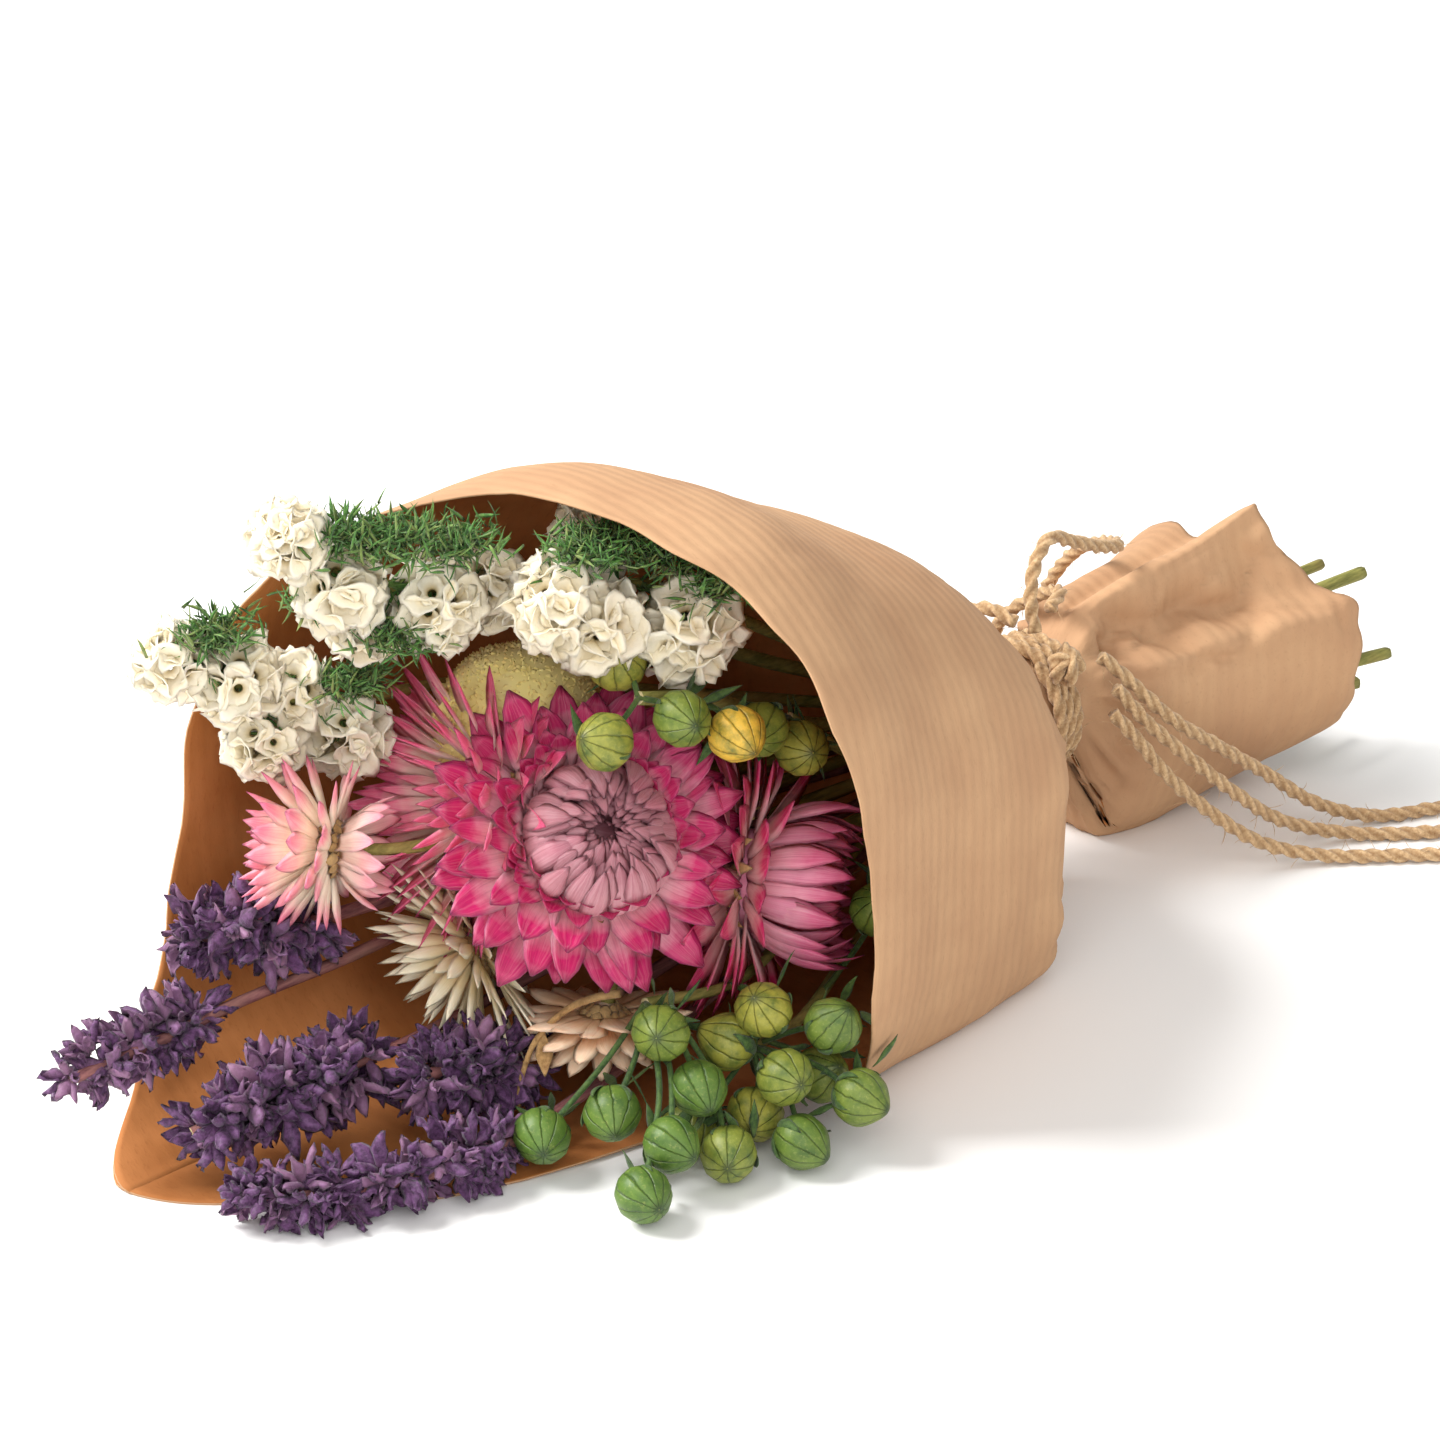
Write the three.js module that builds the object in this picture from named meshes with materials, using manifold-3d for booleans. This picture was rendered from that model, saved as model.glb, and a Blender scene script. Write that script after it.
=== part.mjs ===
// A bunch of dried flowers, rolled in kraft paper and tied with jute twine, lying on a table.
// Millimetres, +Z up. The table is z = 0. The bunch lies along X: its mouth faces -X, its stems end at +X.
// The origin is on the flat underside of the paper, where it rests on the table.

import * as THREE from "three";
import { mergeVertices } from "three/addons/utils/BufferGeometryUtils.js";
import Module from "manifold-3d";

const wasm = await Module();
wasm.setup();

// Driving dimensions.
const paperWall = 0.6; // the sheet and its fine creases, as one even wall
const gap = 0.35; // between pieces that touch, and between two layers of paper
const mouthRadius = 44; // the roll of paper at its wide end
const coneLength = 96; // from the middle of the mouth to the tie
const tailLength = 52; // from the tie to the cut edge of the paper behind it
const tailPeak = 10.5; // of the sheet's corner that stands up from the tail
const tailRadius = 22; // the paper behind the tie, at its open end
const tieHeight = 26; // of the tie's centre above the table
const tieSide = 10; // of the tie's centre, towards +Y
const paperOverlap = 34; // degrees by which the rolled sheet covers its own edge
const stemDiameter = 2;
const stemPastPaper = 20; // the longest stem, beyond the paper's tail
const twineDiameter = 2.2;
const twineTurns = 3;
const knotRadius = 3.3;
const podDiameter = 7.8;
const podStalk = 1.1;

// The stems lie in a hexagonal bundle at the tie, with the paper and then the twine round them.
const stemPitch = stemDiameter + gap;
const bundleRadius = 2 * stemPitch + stemDiameter / 2;
const tieInside = bundleRadius + 2 * gap;
const tieOutside = tieInside + paperWall;
const layerStep = paperWall + gap;
const tieX = coneLength;
const tieHalf = (twineTurns * (twineDiameter + gap)) / 2 + 1.4;
const endX = tieX + tailLength;
const turnRadius = tieOutside + layerStep + gap + twineDiameter / 2;

const group = new THREE.Group();
const vec = (p) => new THREE.Vector3(...p);
const radians = THREE.MathUtils.degToRad;

// Places among the flowers are given for a cone of this length and radius. They move with the cone, fully
// at its mouth and less and less towards the tie, and the flowers grow with it.
const drawnLength = 96;
const drawnRadius = 44;
const fill = mouthRadius / drawnRadius;
const inCone = ([x, y, z]) => {
  const share = Math.min(1, (drawnLength - x) / drawnLength);
  const grow = 1 + (fill - 1) * share;
  return [tieX - ((drawnLength - x) * coneLength) / drawnLength, y * grow, z * grow];
};

function finish(colour, roughness) {
  return new THREE.MeshStandardMaterial({ color: colour, roughness, metalness: 0 });
}

const finishes = {
  kraft: finish("#c2996b", 0.9),
  jute: finish("#bf9a70", 1),
  stem: finish("#8a8a48", 0.8),
  magenta: finish("#c92a6b", 0.5),
  pink: finish("#e89ab0", 0.5),
  cream: finish("#efe2c4", 0.5),
  peach: finish("#e6b48e", 0.5),
  yellow: finish("#ebc860", 1),
  white: finish("#f4edd9", 0.8),
  purple: finish("#55386a", 0.8),
  pod: finish("#7f9240", 0.6),
};

// A closed solid from a geometry, and a geometry from a solid.
function toSolid(geometry) {
  const bare = geometry.clone();
  bare.deleteAttribute("normal");
  bare.deleteAttribute("uv");
  const merged = mergeVertices(bare, 1e-4);
  const mesh = new wasm.Mesh({
    numProp: 3,
    vertProperties: new Float32Array(merged.attributes.position.array),
    triVerts: new Uint32Array(merged.index.array),
  });
  return new wasm.Manifold(mesh);
}

function toGeometry(solid) {
  const mesh = solid.getMesh();
  const geometry = new THREE.BufferGeometry();
  geometry.setAttribute("position", new THREE.BufferAttribute(mesh.vertProperties, 3));
  geometry.setIndex(new THREE.BufferAttribute(mesh.triVerts, 1));
  geometry.computeVertexNormals();
  return geometry;
}

function largest(solid) {
  const bodies = solid.decompose();
  return bodies.reduce((most, body) => (body.volume() > most.volume() ? body : most));
}

function add(name, geometry, material) {
  const mesh = new THREE.Mesh(geometry, material);
  mesh.name = name;
  group.add(mesh);
}

function tube(curve, diameter, sides, steps) {
  const section = new THREE.Shape();
  for (let i = 0; i < sides; i += 1) {
    const turn = (2 * Math.PI * i) / sides;
    section.lineTo((diameter / 2) * Math.cos(turn), (diameter / 2) * Math.sin(turn));
  }
  return new THREE.ExtrudeGeometry(section, { extrudePath: curve, steps, bevelEnabled: false });
}

function smooth(points) {
  return new THREE.CatmullRomCurve3(points.map(vec), false, "centripetal");
}

function ball(at, radius, detail) {
  return new THREE.IcosahedronGeometry(radius, detail).translate(...at);
}

function bead(at, radius) {
  return new THREE.OctahedronGeometry(radius, 1).translate(...at);
}

// Reads a list of [key, value, value, ...] rows, eased between rows, with no overshoot.
function readRows(rows, key) {
  const last = rows.length - 1;
  if (key <= rows[0][0]) return rows[0].slice(1);
  if (key >= rows[last][0]) return rows[last].slice(1);
  const i = rows.findIndex((row) => row[0] > key) - 1;
  const span = rows[i + 1][0] - rows[i][0];
  const t = (key - rows[i][0]) / span;
  const slope = (j, k) => {
    if (j === 0 || j === last) return 0;
    const [before, here, after] = [rows[j - 1], rows[j], rows[j + 1]];
    if ((here[k] - before[k]) * (after[k] - here[k]) <= 0) return 0;
    return ((after[k] - before[k]) / (after[0] - before[0])) * span;
  };
  return rows[i].slice(1).map((value, column) => {
    const k = column + 1;
    const eased = t * t * (3 - 2 * t);
    const bendA = t * (1 - t) * (1 - t) * slope(i, k);
    const bendB = t * t * (t - 1) * slope(i + 1, k);
    return value + (rows[i + 1][k] - value) * eased + bendA + bendB;
  });
}

// ---- The paper: one sheet, rolled into a cone, drawn in at the tie and flared behind it.

// Shape before the tie. A row holds the distance from the mouth as a share of the cone's length, then the
// half width, top and bottom (0 at the tie, 1 at the mouth's radius), the centre's height (0 at the tie's,
// 1 at the mouth's radius), and how square the lower near corner is.
const coneRows = [
  [-0.7, 0.97, 0.96, 1.08, 0.94, 0.3],
  [0, 0.97, 0.96, 1.08, 0.94, 0.3],
  [0.21, 0.915, 0.95, 1.01, 0.83, 1.2],
  [0.417, 0.77, 0.79, 0.89, 0.61, 2.4],
  [0.625, 0.675, 0.66, 0.72, 0.33, 3.4],
  [0.73, 0.63, 0.52, 0.6, 0.11, 3.6],
  [0.79, 0.48, 0.36, 0.5, 0.05, 3],
  [0.875, 0.16, 0.16, 0.18, 0, 0.6],
  [0.943, 0, 0, 0, 0, 0],
  [1, 0, 0, 0, 0, 0],
];
// Shape behind the tie: the share of the tail's length, then half width, top, bottom, and the centre's drop
// and shift sideways in millimetres.
const tailRows = [
  [0, 0, 0, 0, 0, 0],
  [0.1, 0, 0, 0, 0, 0],
  [0.18, 0.22, 0.46, 0.58, 1.5, 0.6],
  [0.3, 0.36, 0.68, 1.0, 4, 1],
  [0.48, 0.47, 0.76, 0.98, 5, 1],
  [0.65, 0.6, 0.7, 0.93, 4.5, 1],
  [0.85, 0.8, 0.71, 0.84, 4, 1],
  [1, 0.95, 0.72, 0.7, 4, 1],
];

function paperSection(x) {
  const before = x <= tieX;
  const share = before ? x / coneLength : (x - tieX) / tailLength;
  const [wide, top, bottom, rise, last] = readRows(before ? coneRows : tailRows, share);
  const grow = (before ? mouthRadius : tailRadius) - tieOutside;
  const towardsMouth = Math.min(1, Math.max(0, 1 - share));
  return {
    side: before ? tieSide - 2 * towardsMouth : tieSide + last,
    height: before ? tieHeight + (mouthRadius - tieHeight) * rise : tieHeight - rise,
    wide: tieOutside + grow * wide,
    top: tieOutside + grow * top,
    bottom: tieOutside + grow * bottom,
    square: 0.3 * wide,
    nearSquare: before ? last : 0.3 * wide,
    peak: before ? 0 : tailPeak * share * share,
  };
}

// The sheet's front edge: [degrees round the roll, reach ahead of the tie as a share of the cone's length].
const mouthEdge = [
  [-66, 1.617],
  [-42, 1.47],
  [-10, 1.313],
  [30, 1.225],
  [60, 1.108],
  [85, 1.0],
  [120, 0.917],
  [170, 0.843],
  [208, 0.775],
  [232, 0.696],
  [240, 0.648],
  [244, 0.853],
  [251, 1.147],
  [270, 1.44],
  [294, 1.617],
  [328, 1.392],
];
const tailEdge = [
  [-66, 0.92],
  [0, 0.9],
  [60, 0.86],
  [108, 0.85],
  [140, 0.99],
  [175, 1.04],
  [215, 1.02],
  [250, 0.96],
  [328, 0.9],
];

// A point of the sheet's outer face (inward = 0) or inner face (inward = paperWall).
function paperPoint(x, degrees, inward) {
  const section = paperSection(x);
  const turn = radians(degrees);
  const [c, s] = [Math.cos(turn), Math.sin(turn)];
  const power = 2 / (2 + (c < 0 && s < 0 ? section.nearSquare : section.square));
  const spiral = (layerStep * (degrees + 66)) / 360 - inward;
  const corner = section.peak * Math.max(0, 1 - Math.abs(degrees - 108) / 26);
  const tall = s > 0 ? section.top + corner : section.bottom;
  const y = section.side + (section.wide + spiral) * Math.sign(c) * Math.abs(c) ** power;
  const z = section.height + (tall + spiral) * Math.sign(s) * Math.abs(s) ** power;
  return [x, y, Math.max(z, inward)];
}

function paperGeometry() {
  const around = [];
  for (let d = -66; d < 100; d += 12.5) around.push(d);
  for (let d = 108; d < 234; d += 12.6) around.push(d);
  around.push(234, 240, 246, 253, 262, 272, 283, 294, 294 + paperOverlap / 2, 294 + paperOverlap);
  const along = [0, 0.14, 0.3, 0.46, 0.6, 0.7, 0.78, 0.86, 0.93, 1];
  const behind = [0.1, 0.2, 0.34, 0.52, 0.75, 1];
  const positions = [];
  const index = [];
  const rows = along.length + behind.length;
  for (const inward of [0, paperWall]) {
    for (const d of around) {
      const front = tieX - coneLength * readRows(mouthEdge, d)[0];
      const back = tieX + tailLength * readRows(tailEdge, d)[0];
      const before = tieX - tieHalf;
      const after = tieX + tieHalf;
      for (const t of along) positions.push(...paperPoint(front + (before - front) * t, d, inward));
      for (const t of behind) {
        const x = t === behind[0] ? after : after + ((back - after) * (t - 0.1)) / 0.9;
        positions.push(...paperPoint(x, d, inward));
      }
    }
  }
  const at = (side, i, j) => (side * around.length + i) * rows + j;
  const quad = (a, b, c, d) => index.push(a, c, b, a, d, c);
  for (let i = 0; i < around.length - 1; i += 1) {
    for (let j = 0; j < rows - 1; j += 1) {
      quad(at(0, i, j), at(0, i, j + 1), at(0, i + 1, j + 1), at(0, i + 1, j));
      quad(at(1, i, j), at(1, i + 1, j), at(1, i + 1, j + 1), at(1, i, j + 1));
    }
    quad(at(0, i, 0), at(0, i + 1, 0), at(1, i + 1, 0), at(1, i, 0));
    const end = rows - 1;
    quad(at(0, i, end), at(1, i, end), at(1, i + 1, end), at(0, i + 1, end));
  }
  const far = around.length - 1;
  for (let j = 0; j < rows - 1; j += 1) {
    quad(at(0, 0, j), at(1, 0, j), at(1, 0, j + 1), at(0, 0, j + 1));
    quad(at(0, far, j), at(0, far, j + 1), at(1, far, j + 1), at(1, far, j));
  }
  const geometry = new THREE.BufferGeometry();
  geometry.setAttribute("position", new THREE.Float32BufferAttribute(positions, 3));
  geometry.setIndex(index);
  geometry.computeVertexNormals();
  return geometry;
}

add("kraft_wrap", paperGeometry(), finishes.kraft);

// ---- The twine: turns round the tie, a knot, a bow with two loops and two tails.

class Turns extends THREE.Curve {
  getPoint(t, target = new THREE.Vector3()) {
    const turn = 2 * Math.PI * (twineTurns * t + 0.33);
    const x = tieX + (t - 0.5) * (twineTurns - 1) * (twineDiameter + gap) * 1.1;
    return target.set(
      x,
      tieSide + turnRadius * Math.cos(turn),
      tieHeight + turnRadius * Math.sin(turn),
    );
  }
}

const turnSteps = Math.round(13 * twineTurns);
add("twine_turns", tube(new Turns(), twineDiameter, 8, turnSteps), finishes.jute);

const knotTurn = radians(135);
const knotFar = turnRadius + twineDiameter / 2 + gap + knotRadius * 0.8;
const knotAt = [
  tieX - 2,
  tieSide + knotFar * Math.cos(knotTurn),
  tieHeight + knotFar * Math.sin(knotTurn),
];
const knot = new THREE.IcosahedronGeometry(knotRadius, 2).scale(1.15, 1, 0.8);
knot.rotateX(knotTurn - Math.PI / 2).translate(...knotAt);
add("twine_knot", knot, finishes.jute);

// The free lengths lie as the twine falls, from the knot down the paper's tail to the table.
const nearLoop = [
  [100.3, -0.8, 35.6],
  [102.8, -3.3, 32.4],
  [108, -8, 25.6],
  [117, -10.2, 18.6],
  [127, -11.8, 11.2],
  [135, -15, 4.8],
  [143, -19.8, 1.5],
  [155, -26, 1.2],
  [165, -33, 1.2],
  [169, -41, 1.2],
  [163, -47, 1.2],
  [152, -43, 1.2],
  [142, -36, 1.2],
  [134, -29, 1.2],
  [127, -23, 1.6],
  [119, -17.4, 4.6],
  [111, -12.6, 11.6],
  [105, -10, 18.2],
  [100.4, -7.6, 25],
  [97.8, -5.6, 28.8],
];
const nearTail = [
  [99.9, -4.3, 31.8],
  [103.4, -7.4, 26.2],
  [109, -10.6, 20],
  [117, -13.6, 12.2],
  [126, -15.8, 5.2],
  [136, -21.2, 1.5],
  [148, -31, 1.2],
  [158, -36, 1.2],
];
const farLoop = [
  [91.4, 4.2, 40.6],
  [91.6, 5.4, 45],
  [93.8, 6.6, 50],
  [97.8, 7.4, 52.4],
  [103.2, 8, 50.2],
  [109.6, 8.2, 47.4],
  [115.4, 9.4, 45.4],
  [119.4, 14.4, 43.4],
  [121.6, 22, 39.4],
  [123, 29, 31],
  [123.4, 33, 19],
  [121, 35.6, 8],
  [115.6, 37, 1.8],
  [108.6, 35.2, 1.8],
  [104.4, 31.4, 8.4],
  [102.8, 27.4, 17.6],
  [102.4, 24.4, 26.4],
  [102.6, 19.4, 35.4],
  [103, 11.6, 41.2],
  [100.6, 7.6, 42.8],
  [96.6, 6, 42.2],
];
const farTail = [
  [88.8, 5.8, 42.4],
  [88, 9.6, 43.6],
  [87, 15, 42],
  [86.4, 22, 38],
  [87, 28.4, 29],
  [88.2, 33, 18],
  [89.4, 37.4, 7.5],
  [88, 43.5, 1.8],
  [82.5, 50, 1.2],
  [75, 54.5, 1.2],
  [67, 57, 1.2],
];
const looseTwine = {
  twine_near_loop: nearLoop,
  twine_near_tail: nearTail,
  twine_far_loop: farLoop,
  twine_far_tail: farTail,
};
for (const [name, points] of Object.entries(looseTwine)) {
  const curve = smooth(points);
  const steps = Math.round(curve.getLength() / (2.6 * twineDiameter));
  add(name, tube(curve, twineDiameter, 8, steps), finishes.jute);
}

// ---- The stems: one for each flower, through its own place in the bundle at the tie.

function bundlePlace(slot) {
  if (slot === 0) return [0, 0];
  const ring = slot <= 6 ? 1 : 2;
  const step = ring === 1 ? slot - 1 : slot - 7;
  const corner = Math.floor(step / ring);
  const along = (step % ring) / ring;
  const reach = ring * stemPitch;
  const from = radians(60 * corner);
  const to = radians(60 * (corner + 1));
  return [
    reach * (Math.cos(from) * (1 - along) + Math.cos(to) * along),
    reach * (Math.sin(from) * (1 - along) + Math.sin(to) * along),
  ];
}

// Stems leave the head straight, bend towards the tie, run level through it, and spread a little behind it.
function stemCurve(route, slot, past) {
  const [dy, dz] = bundlePlace(slot);
  const at = (x, spread, down = 0) => [x, tieSide + dy * spread, tieHeight - down + dz * spread];
  return smooth([
    ...route,
    at(tieX - tieHalf - 9, 1.35),
    at(tieX - tieHalf, 1),
    at(tieX + tieHalf, 1),
    at(tieX + tieHalf + 9, 1.3, 1),
    at(endX - 16, 2.1, 6.5),
    at(endX + past, 2.1 + 0.02 * (past + 16), 6.5 + 0.11 * (past + 16)),
  ]);
}

const stemSteps = 11;
const stems = []; // every stem's solid, made thicker by the gap, with its owner's name
function makeStem(name, route, slot, past) {
  const curve = stemCurve(route, slot, past);
  stems.push({ name, solid: toSolid(tube(curve, stemDiameter + 2 * gap, 6, stemSteps)) });
  return toSolid(tube(curve, stemDiameter, 6, stemSteps));
}

// ---- The flower heads: each is pressed against the ones before it, so it is cut clear of them.

const heads = [
  {
    name: "strawflower_magenta",
    at: [0, 2, 41],
    face: [-0.37, -0.7, 0.61],
    size: [21, 7, 9],
    colour: finishes.magenta,
    slot: 1,
  },
  {
    name: "strawflower_rose",
    at: [26, -4, 27],
    face: [0.6, -0.8, -0.05],
    size: [18, 9, 11],
    colour: finishes.magenta,
    slot: 4,
  },
  {
    name: "billy_button",
    at: [7, 22, 47],
    face: [-0.7, 0.1, 0.4],
    size: [12.5, 12.5, 12.5],
    colour: finishes.yellow,
    slot: 10,
  },
  {
    name: "strawflower_pink",
    at: [-3, 20, 41],
    face: [-0.86, 0.3, 0.22],
    size: [18, 9, 9],
    colour: finishes.pink,
    slot: 2,
  },
  {
    name: "strawflower_small",
    at: [-25, 28, 39],
    face: [-0.6, 0.8, 0.05],
    size: [10, 7, 7],
    colour: finishes.pink,
    slot: 11,
  },
  {
    name: "strawflower_cream",
    at: [-7, 19, 20],
    face: [-0.75, 0.5, -0.4],
    size: [12, 6, 6],
    colour: finishes.cream,
    slot: 6,
  },
  {
    name: "strawflower_peach",
    at: [1, 0, 13],
    face: [-0.15, -0.1, -0.98],
    size: [9, 4, 5],
    colour: finishes.peach,
    slot: 14,
  },
];

// A strawflower's outline: a cup behind, a rim of open bracts, and a low dome of inner ones.
function headGeometry([radius, back, front]) {
  const outline = [
    [0, -back],
    [0.34 * radius, -0.86 * back],
    [0.72 * radius, -0.45 * back],
    [0.96 * radius, 0.02 * front],
    [radius, 0.22 * front],
    [0.8 * radius, 0.42 * front],
    [0.5 * radius, 0.62 * front],
    [0.3 * radius, 0.94 * front],
    [0, front],
  ];
  const points = outline.map(([r, h]) => new THREE.Vector2(r, h));
  return new THREE.LatheGeometry(points, 18).rotateX(Math.PI / 2);
}

function placeHead(head, grow) {
  const size = head.size.map((value) => value * fill + grow);
  const round = head.size[0] === head.size[1];
  const geometry = round ? ball([0, 0, 0], size[0], 2) : headGeometry(size);
  const turn = new THREE.Quaternion();
  turn.setFromUnitVectors(new THREE.Vector3(0, 0, 1), vec(head.face).normalize());
  geometry.applyQuaternion(turn);
  return geometry.translate(...inCone(head.at));
}

function headRoute(head) {
  const at = vec(inCone(head.at));
  const face = vec(head.face).normalize();
  const back = head.size[1] * fill;
  const start = at.clone().addScaledVector(face, -back + 3);
  const leave = at.clone().addScaledVector(face, -back - 4).add(vec([3, 0, 0]));
  return [start.toArray(), leave.toArray()];
}

// ---- The sprays: statice, larkspur and flax, each of which grew as one piece.

const statice = [
  {
    name: "statice_left",
    route: [[-31, 40, 62], [-18, 36, 55], [10, 33, 50], [50, 22, 38]],
    tufts: [[-35, 43, 64, 6], [-27, 39, 60, 6.5], [-19, 38, 56, 6.5], [-25, 37, 51, 6], [-13, 34, 49, 6.5]],
    slot: 8,
  },
  {
    name: "statice_top",
    route: [[-24, 27, 80], [-10, 24, 72], [14, 23, 64], [52, 17, 44]],
    tufts: [[-28, 27, 84, 6], [-20, 26, 75, 7], [-9, 20, 71, 7], [-14, 28, 68, 6.5], [1, 21, 70, 6]],
    slot: 9,
  },
  {
    name: "statice_right",
    route: [[4, 5, 71], [14, 7, 71], [30, 9, 62], [60, 10.7, 43]],
    tufts: [[-1, 6, 73, 7], [5, 4, 69, 7], [15, -2, 67, 7.5], [12, 13, 76, 6.5]],
    slot: 3,
  },
];

const larkspur = [
  {
    name: "larkspur_tip",
    route: [[-62, 34, 16], [-50, 31, 18], [-38, 29, 20], [-20, 27, 21], [20, 27, 22]],
    spike: [[-60, 34, 16, 3], [-52, 32, 18, 4], [-44, 30, 19, 5]],
    slot: 18,
  },
  {
    name: "larkspur_back",
    route: [[-40, 36, 28], [-28, 31, 27], [-10, 30, 25], [30, 26, 25]],
    spike: [[-38, 35, 28, 4.5], [-31, 32, 28, 6], [-24, 30, 26, 5.5]],
    slot: 7,
  },
  {
    name: "larkspur_middle",
    route: [[-52, 22, 9], [-40, 18, 12], [-24, 15, 13], [10, 16, 14], [60, 12, 20]],
    spike: [[-50, 21, 9, 4], [-43, 19, 11, 5.5], [-35, 17, 12, 6], [-27, 16, 12, 5.5]],
    slot: 5,
  },
  {
    name: "larkspur_inner",
    route: [[-24, 8, 12], [-14, 7, 10], [4, 9, 9], [40, 9, 14]],
    spike: [[-23, 8, 12, 4.5], [-16, 7, 10, 5.5], [-9, 7, 8.5, 5]],
    slot: 17,
  },
  {
    name: "larkspur_low",
    route: [[-54, 12, 4], [-42, 3, 4], [-24, -3, 4.2], [-6, -2, 5.2], [30, 3, 9]],
    spike: [[-52, 11, 4, 3], [-46, 6, 4.2, 4], [-38, 1, 4.4, 4], [-29, -2, 4.8, 4], [-20, -3, 4.8, 3.6]],
    slot: 16,
  },
];

const flax = [
  {
    name: "flax_upper",
    route: [[6, -2, 60], [18, -2, 56], [40, 2, 44]],
    pods: [[7, 3, 63], [-2, -4, 57], [7, -9, 59], [14, -12, 55.5]],
    slot: 12,
  },
  {
    name: "flax_side",
    route: [[34, -2, 48], [44, -3.4, 40], [60, 0, 31.6]],
    pods: [[22.4, -8, 52], [31.3, -7, 46]],
    slot: 13,
  },
  {
    name: "flax_front",
    route: [[0, -9, 20], [18, -8, 16], [40, 0, 16]],
    pods: [
      [-3, -15, 19],
      [-1, -20, 12],
      [-10, -13, 9],
      [-9, -23, 8],
      [-17, -7, 6],
      [-16, -25, 4.3],
      [-1, -25.5, 4.3],
    ],
    slot: 0,
  },
  {
    name: "flax_low",
    route: [[12, -17, 12], [24, -14, 10], [44, -6, 12]],
    pods: [
      [11, -20, 19],
      [17, -27, 17],
      [9, -26, 12],
      [16, -33, 9],
      [18, -24, 8],
      [8, -30, 4.3],
      [0, -17, 4.3],
      [8, -16.5, 14],
      [8, -21.5, 5],
      [34, -19, 25],
    ],
    slot: 15,
  },
];

const taken = []; // the heads so far, each made larger by the gap
// How far each stem reaches past the paper, as a share of the longest, by its place in the bundle.
const pastShares = [
  -0.1, 0.1, -0.2, -0.1, 0.4, 0.2, -0.3, -0.2, 0.1, 0.1, 0.9, 1, 0.6, 0.95, 0.8, 0.75, 0.5, -0.1, 0,
];
const pastPaper = (slot) => pastShares[slot] * stemPastPaper;

const joined = [];
for (const head of heads) {
  const stem = makeStem(head.name, headRoute(head), head.slot, pastPaper(head.slot));
  add(head.name + "_stem", toGeometry(stem), finishes.stem);
}
for (const spray of [...statice, ...larkspur, ...flax]) {
  const stem = makeStem(spray.name, spray.route.map(inCone), spray.slot, pastPaper(spray.slot));
  joined.push({ spray, stem });
}

for (const head of heads) {
  let solid = toSolid(placeHead(head, 0));
  for (const other of taken) solid = solid.subtract(other);
  for (const other of stems) solid = solid.subtract(other.solid);
  add(head.name + "_head", toGeometry(largest(solid)), head.colour);
  taken.push(toSolid(placeHead(head, gap)));
}

// A twig bends from the stem's nearest point to a pod or a tuft.
function twig(curve, to) {
  const target = vec(to);
  const places = curve.getSpacedPoints(24).slice(0, 12);
  const reach = (p) => p.distanceTo(target) + Math.abs(p.distanceTo(target) - 9);
  const from = places.reduce((best, p) => (reach(p) < reach(best) ? p : best));
  const middle = from.clone().lerp(target, 0.5).add(vec([0.1 * from.distanceTo(target), 0, 0]));
  return new THREE.CatmullRomCurve3([from, middle, target]);
}

for (const { spray, stem } of joined) {
  const spreads = spray.tufts ?? spray.spike ?? spray.pods;
  const colour = spray.tufts ? finishes.white : spray.spike ? finishes.purple : finishes.pod;
  const curve = stemCurve(spray.route.map(inCone), spray.slot, 0);
  let own = null;
  let grown = null;
  for (const [x, y, z, radius] of spreads) {
    const at = inCone([x, y, z]);
    const size = radius ? radius * fill : podDiameter / 2;
    const round = (r) => toSolid(spray.tufts ? ball(at, r, 1) : bead(at, r));
    const stalk = (d) => toSolid(tube(twig(curve, at), d, 4, 3));
    const piece = round(size).add(stalk(podStalk));
    const larger = round(size + gap).add(stalk(podStalk + 2 * gap));
    own = own ? own.add(piece) : piece;
    grown = grown ? grown.add(larger) : larger;
  }
  for (const other of taken) own = own.subtract(other);
  for (const other of stems) if (other.name !== spray.name) own = own.subtract(other.solid);
  add(spray.name, toGeometry(largest(own.add(stem))), colour);
  taken.push(grown);
}

export default group;
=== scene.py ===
import math

import bpy
import numpy as np
from mathutils import Matrix, Vector, noise


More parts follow.
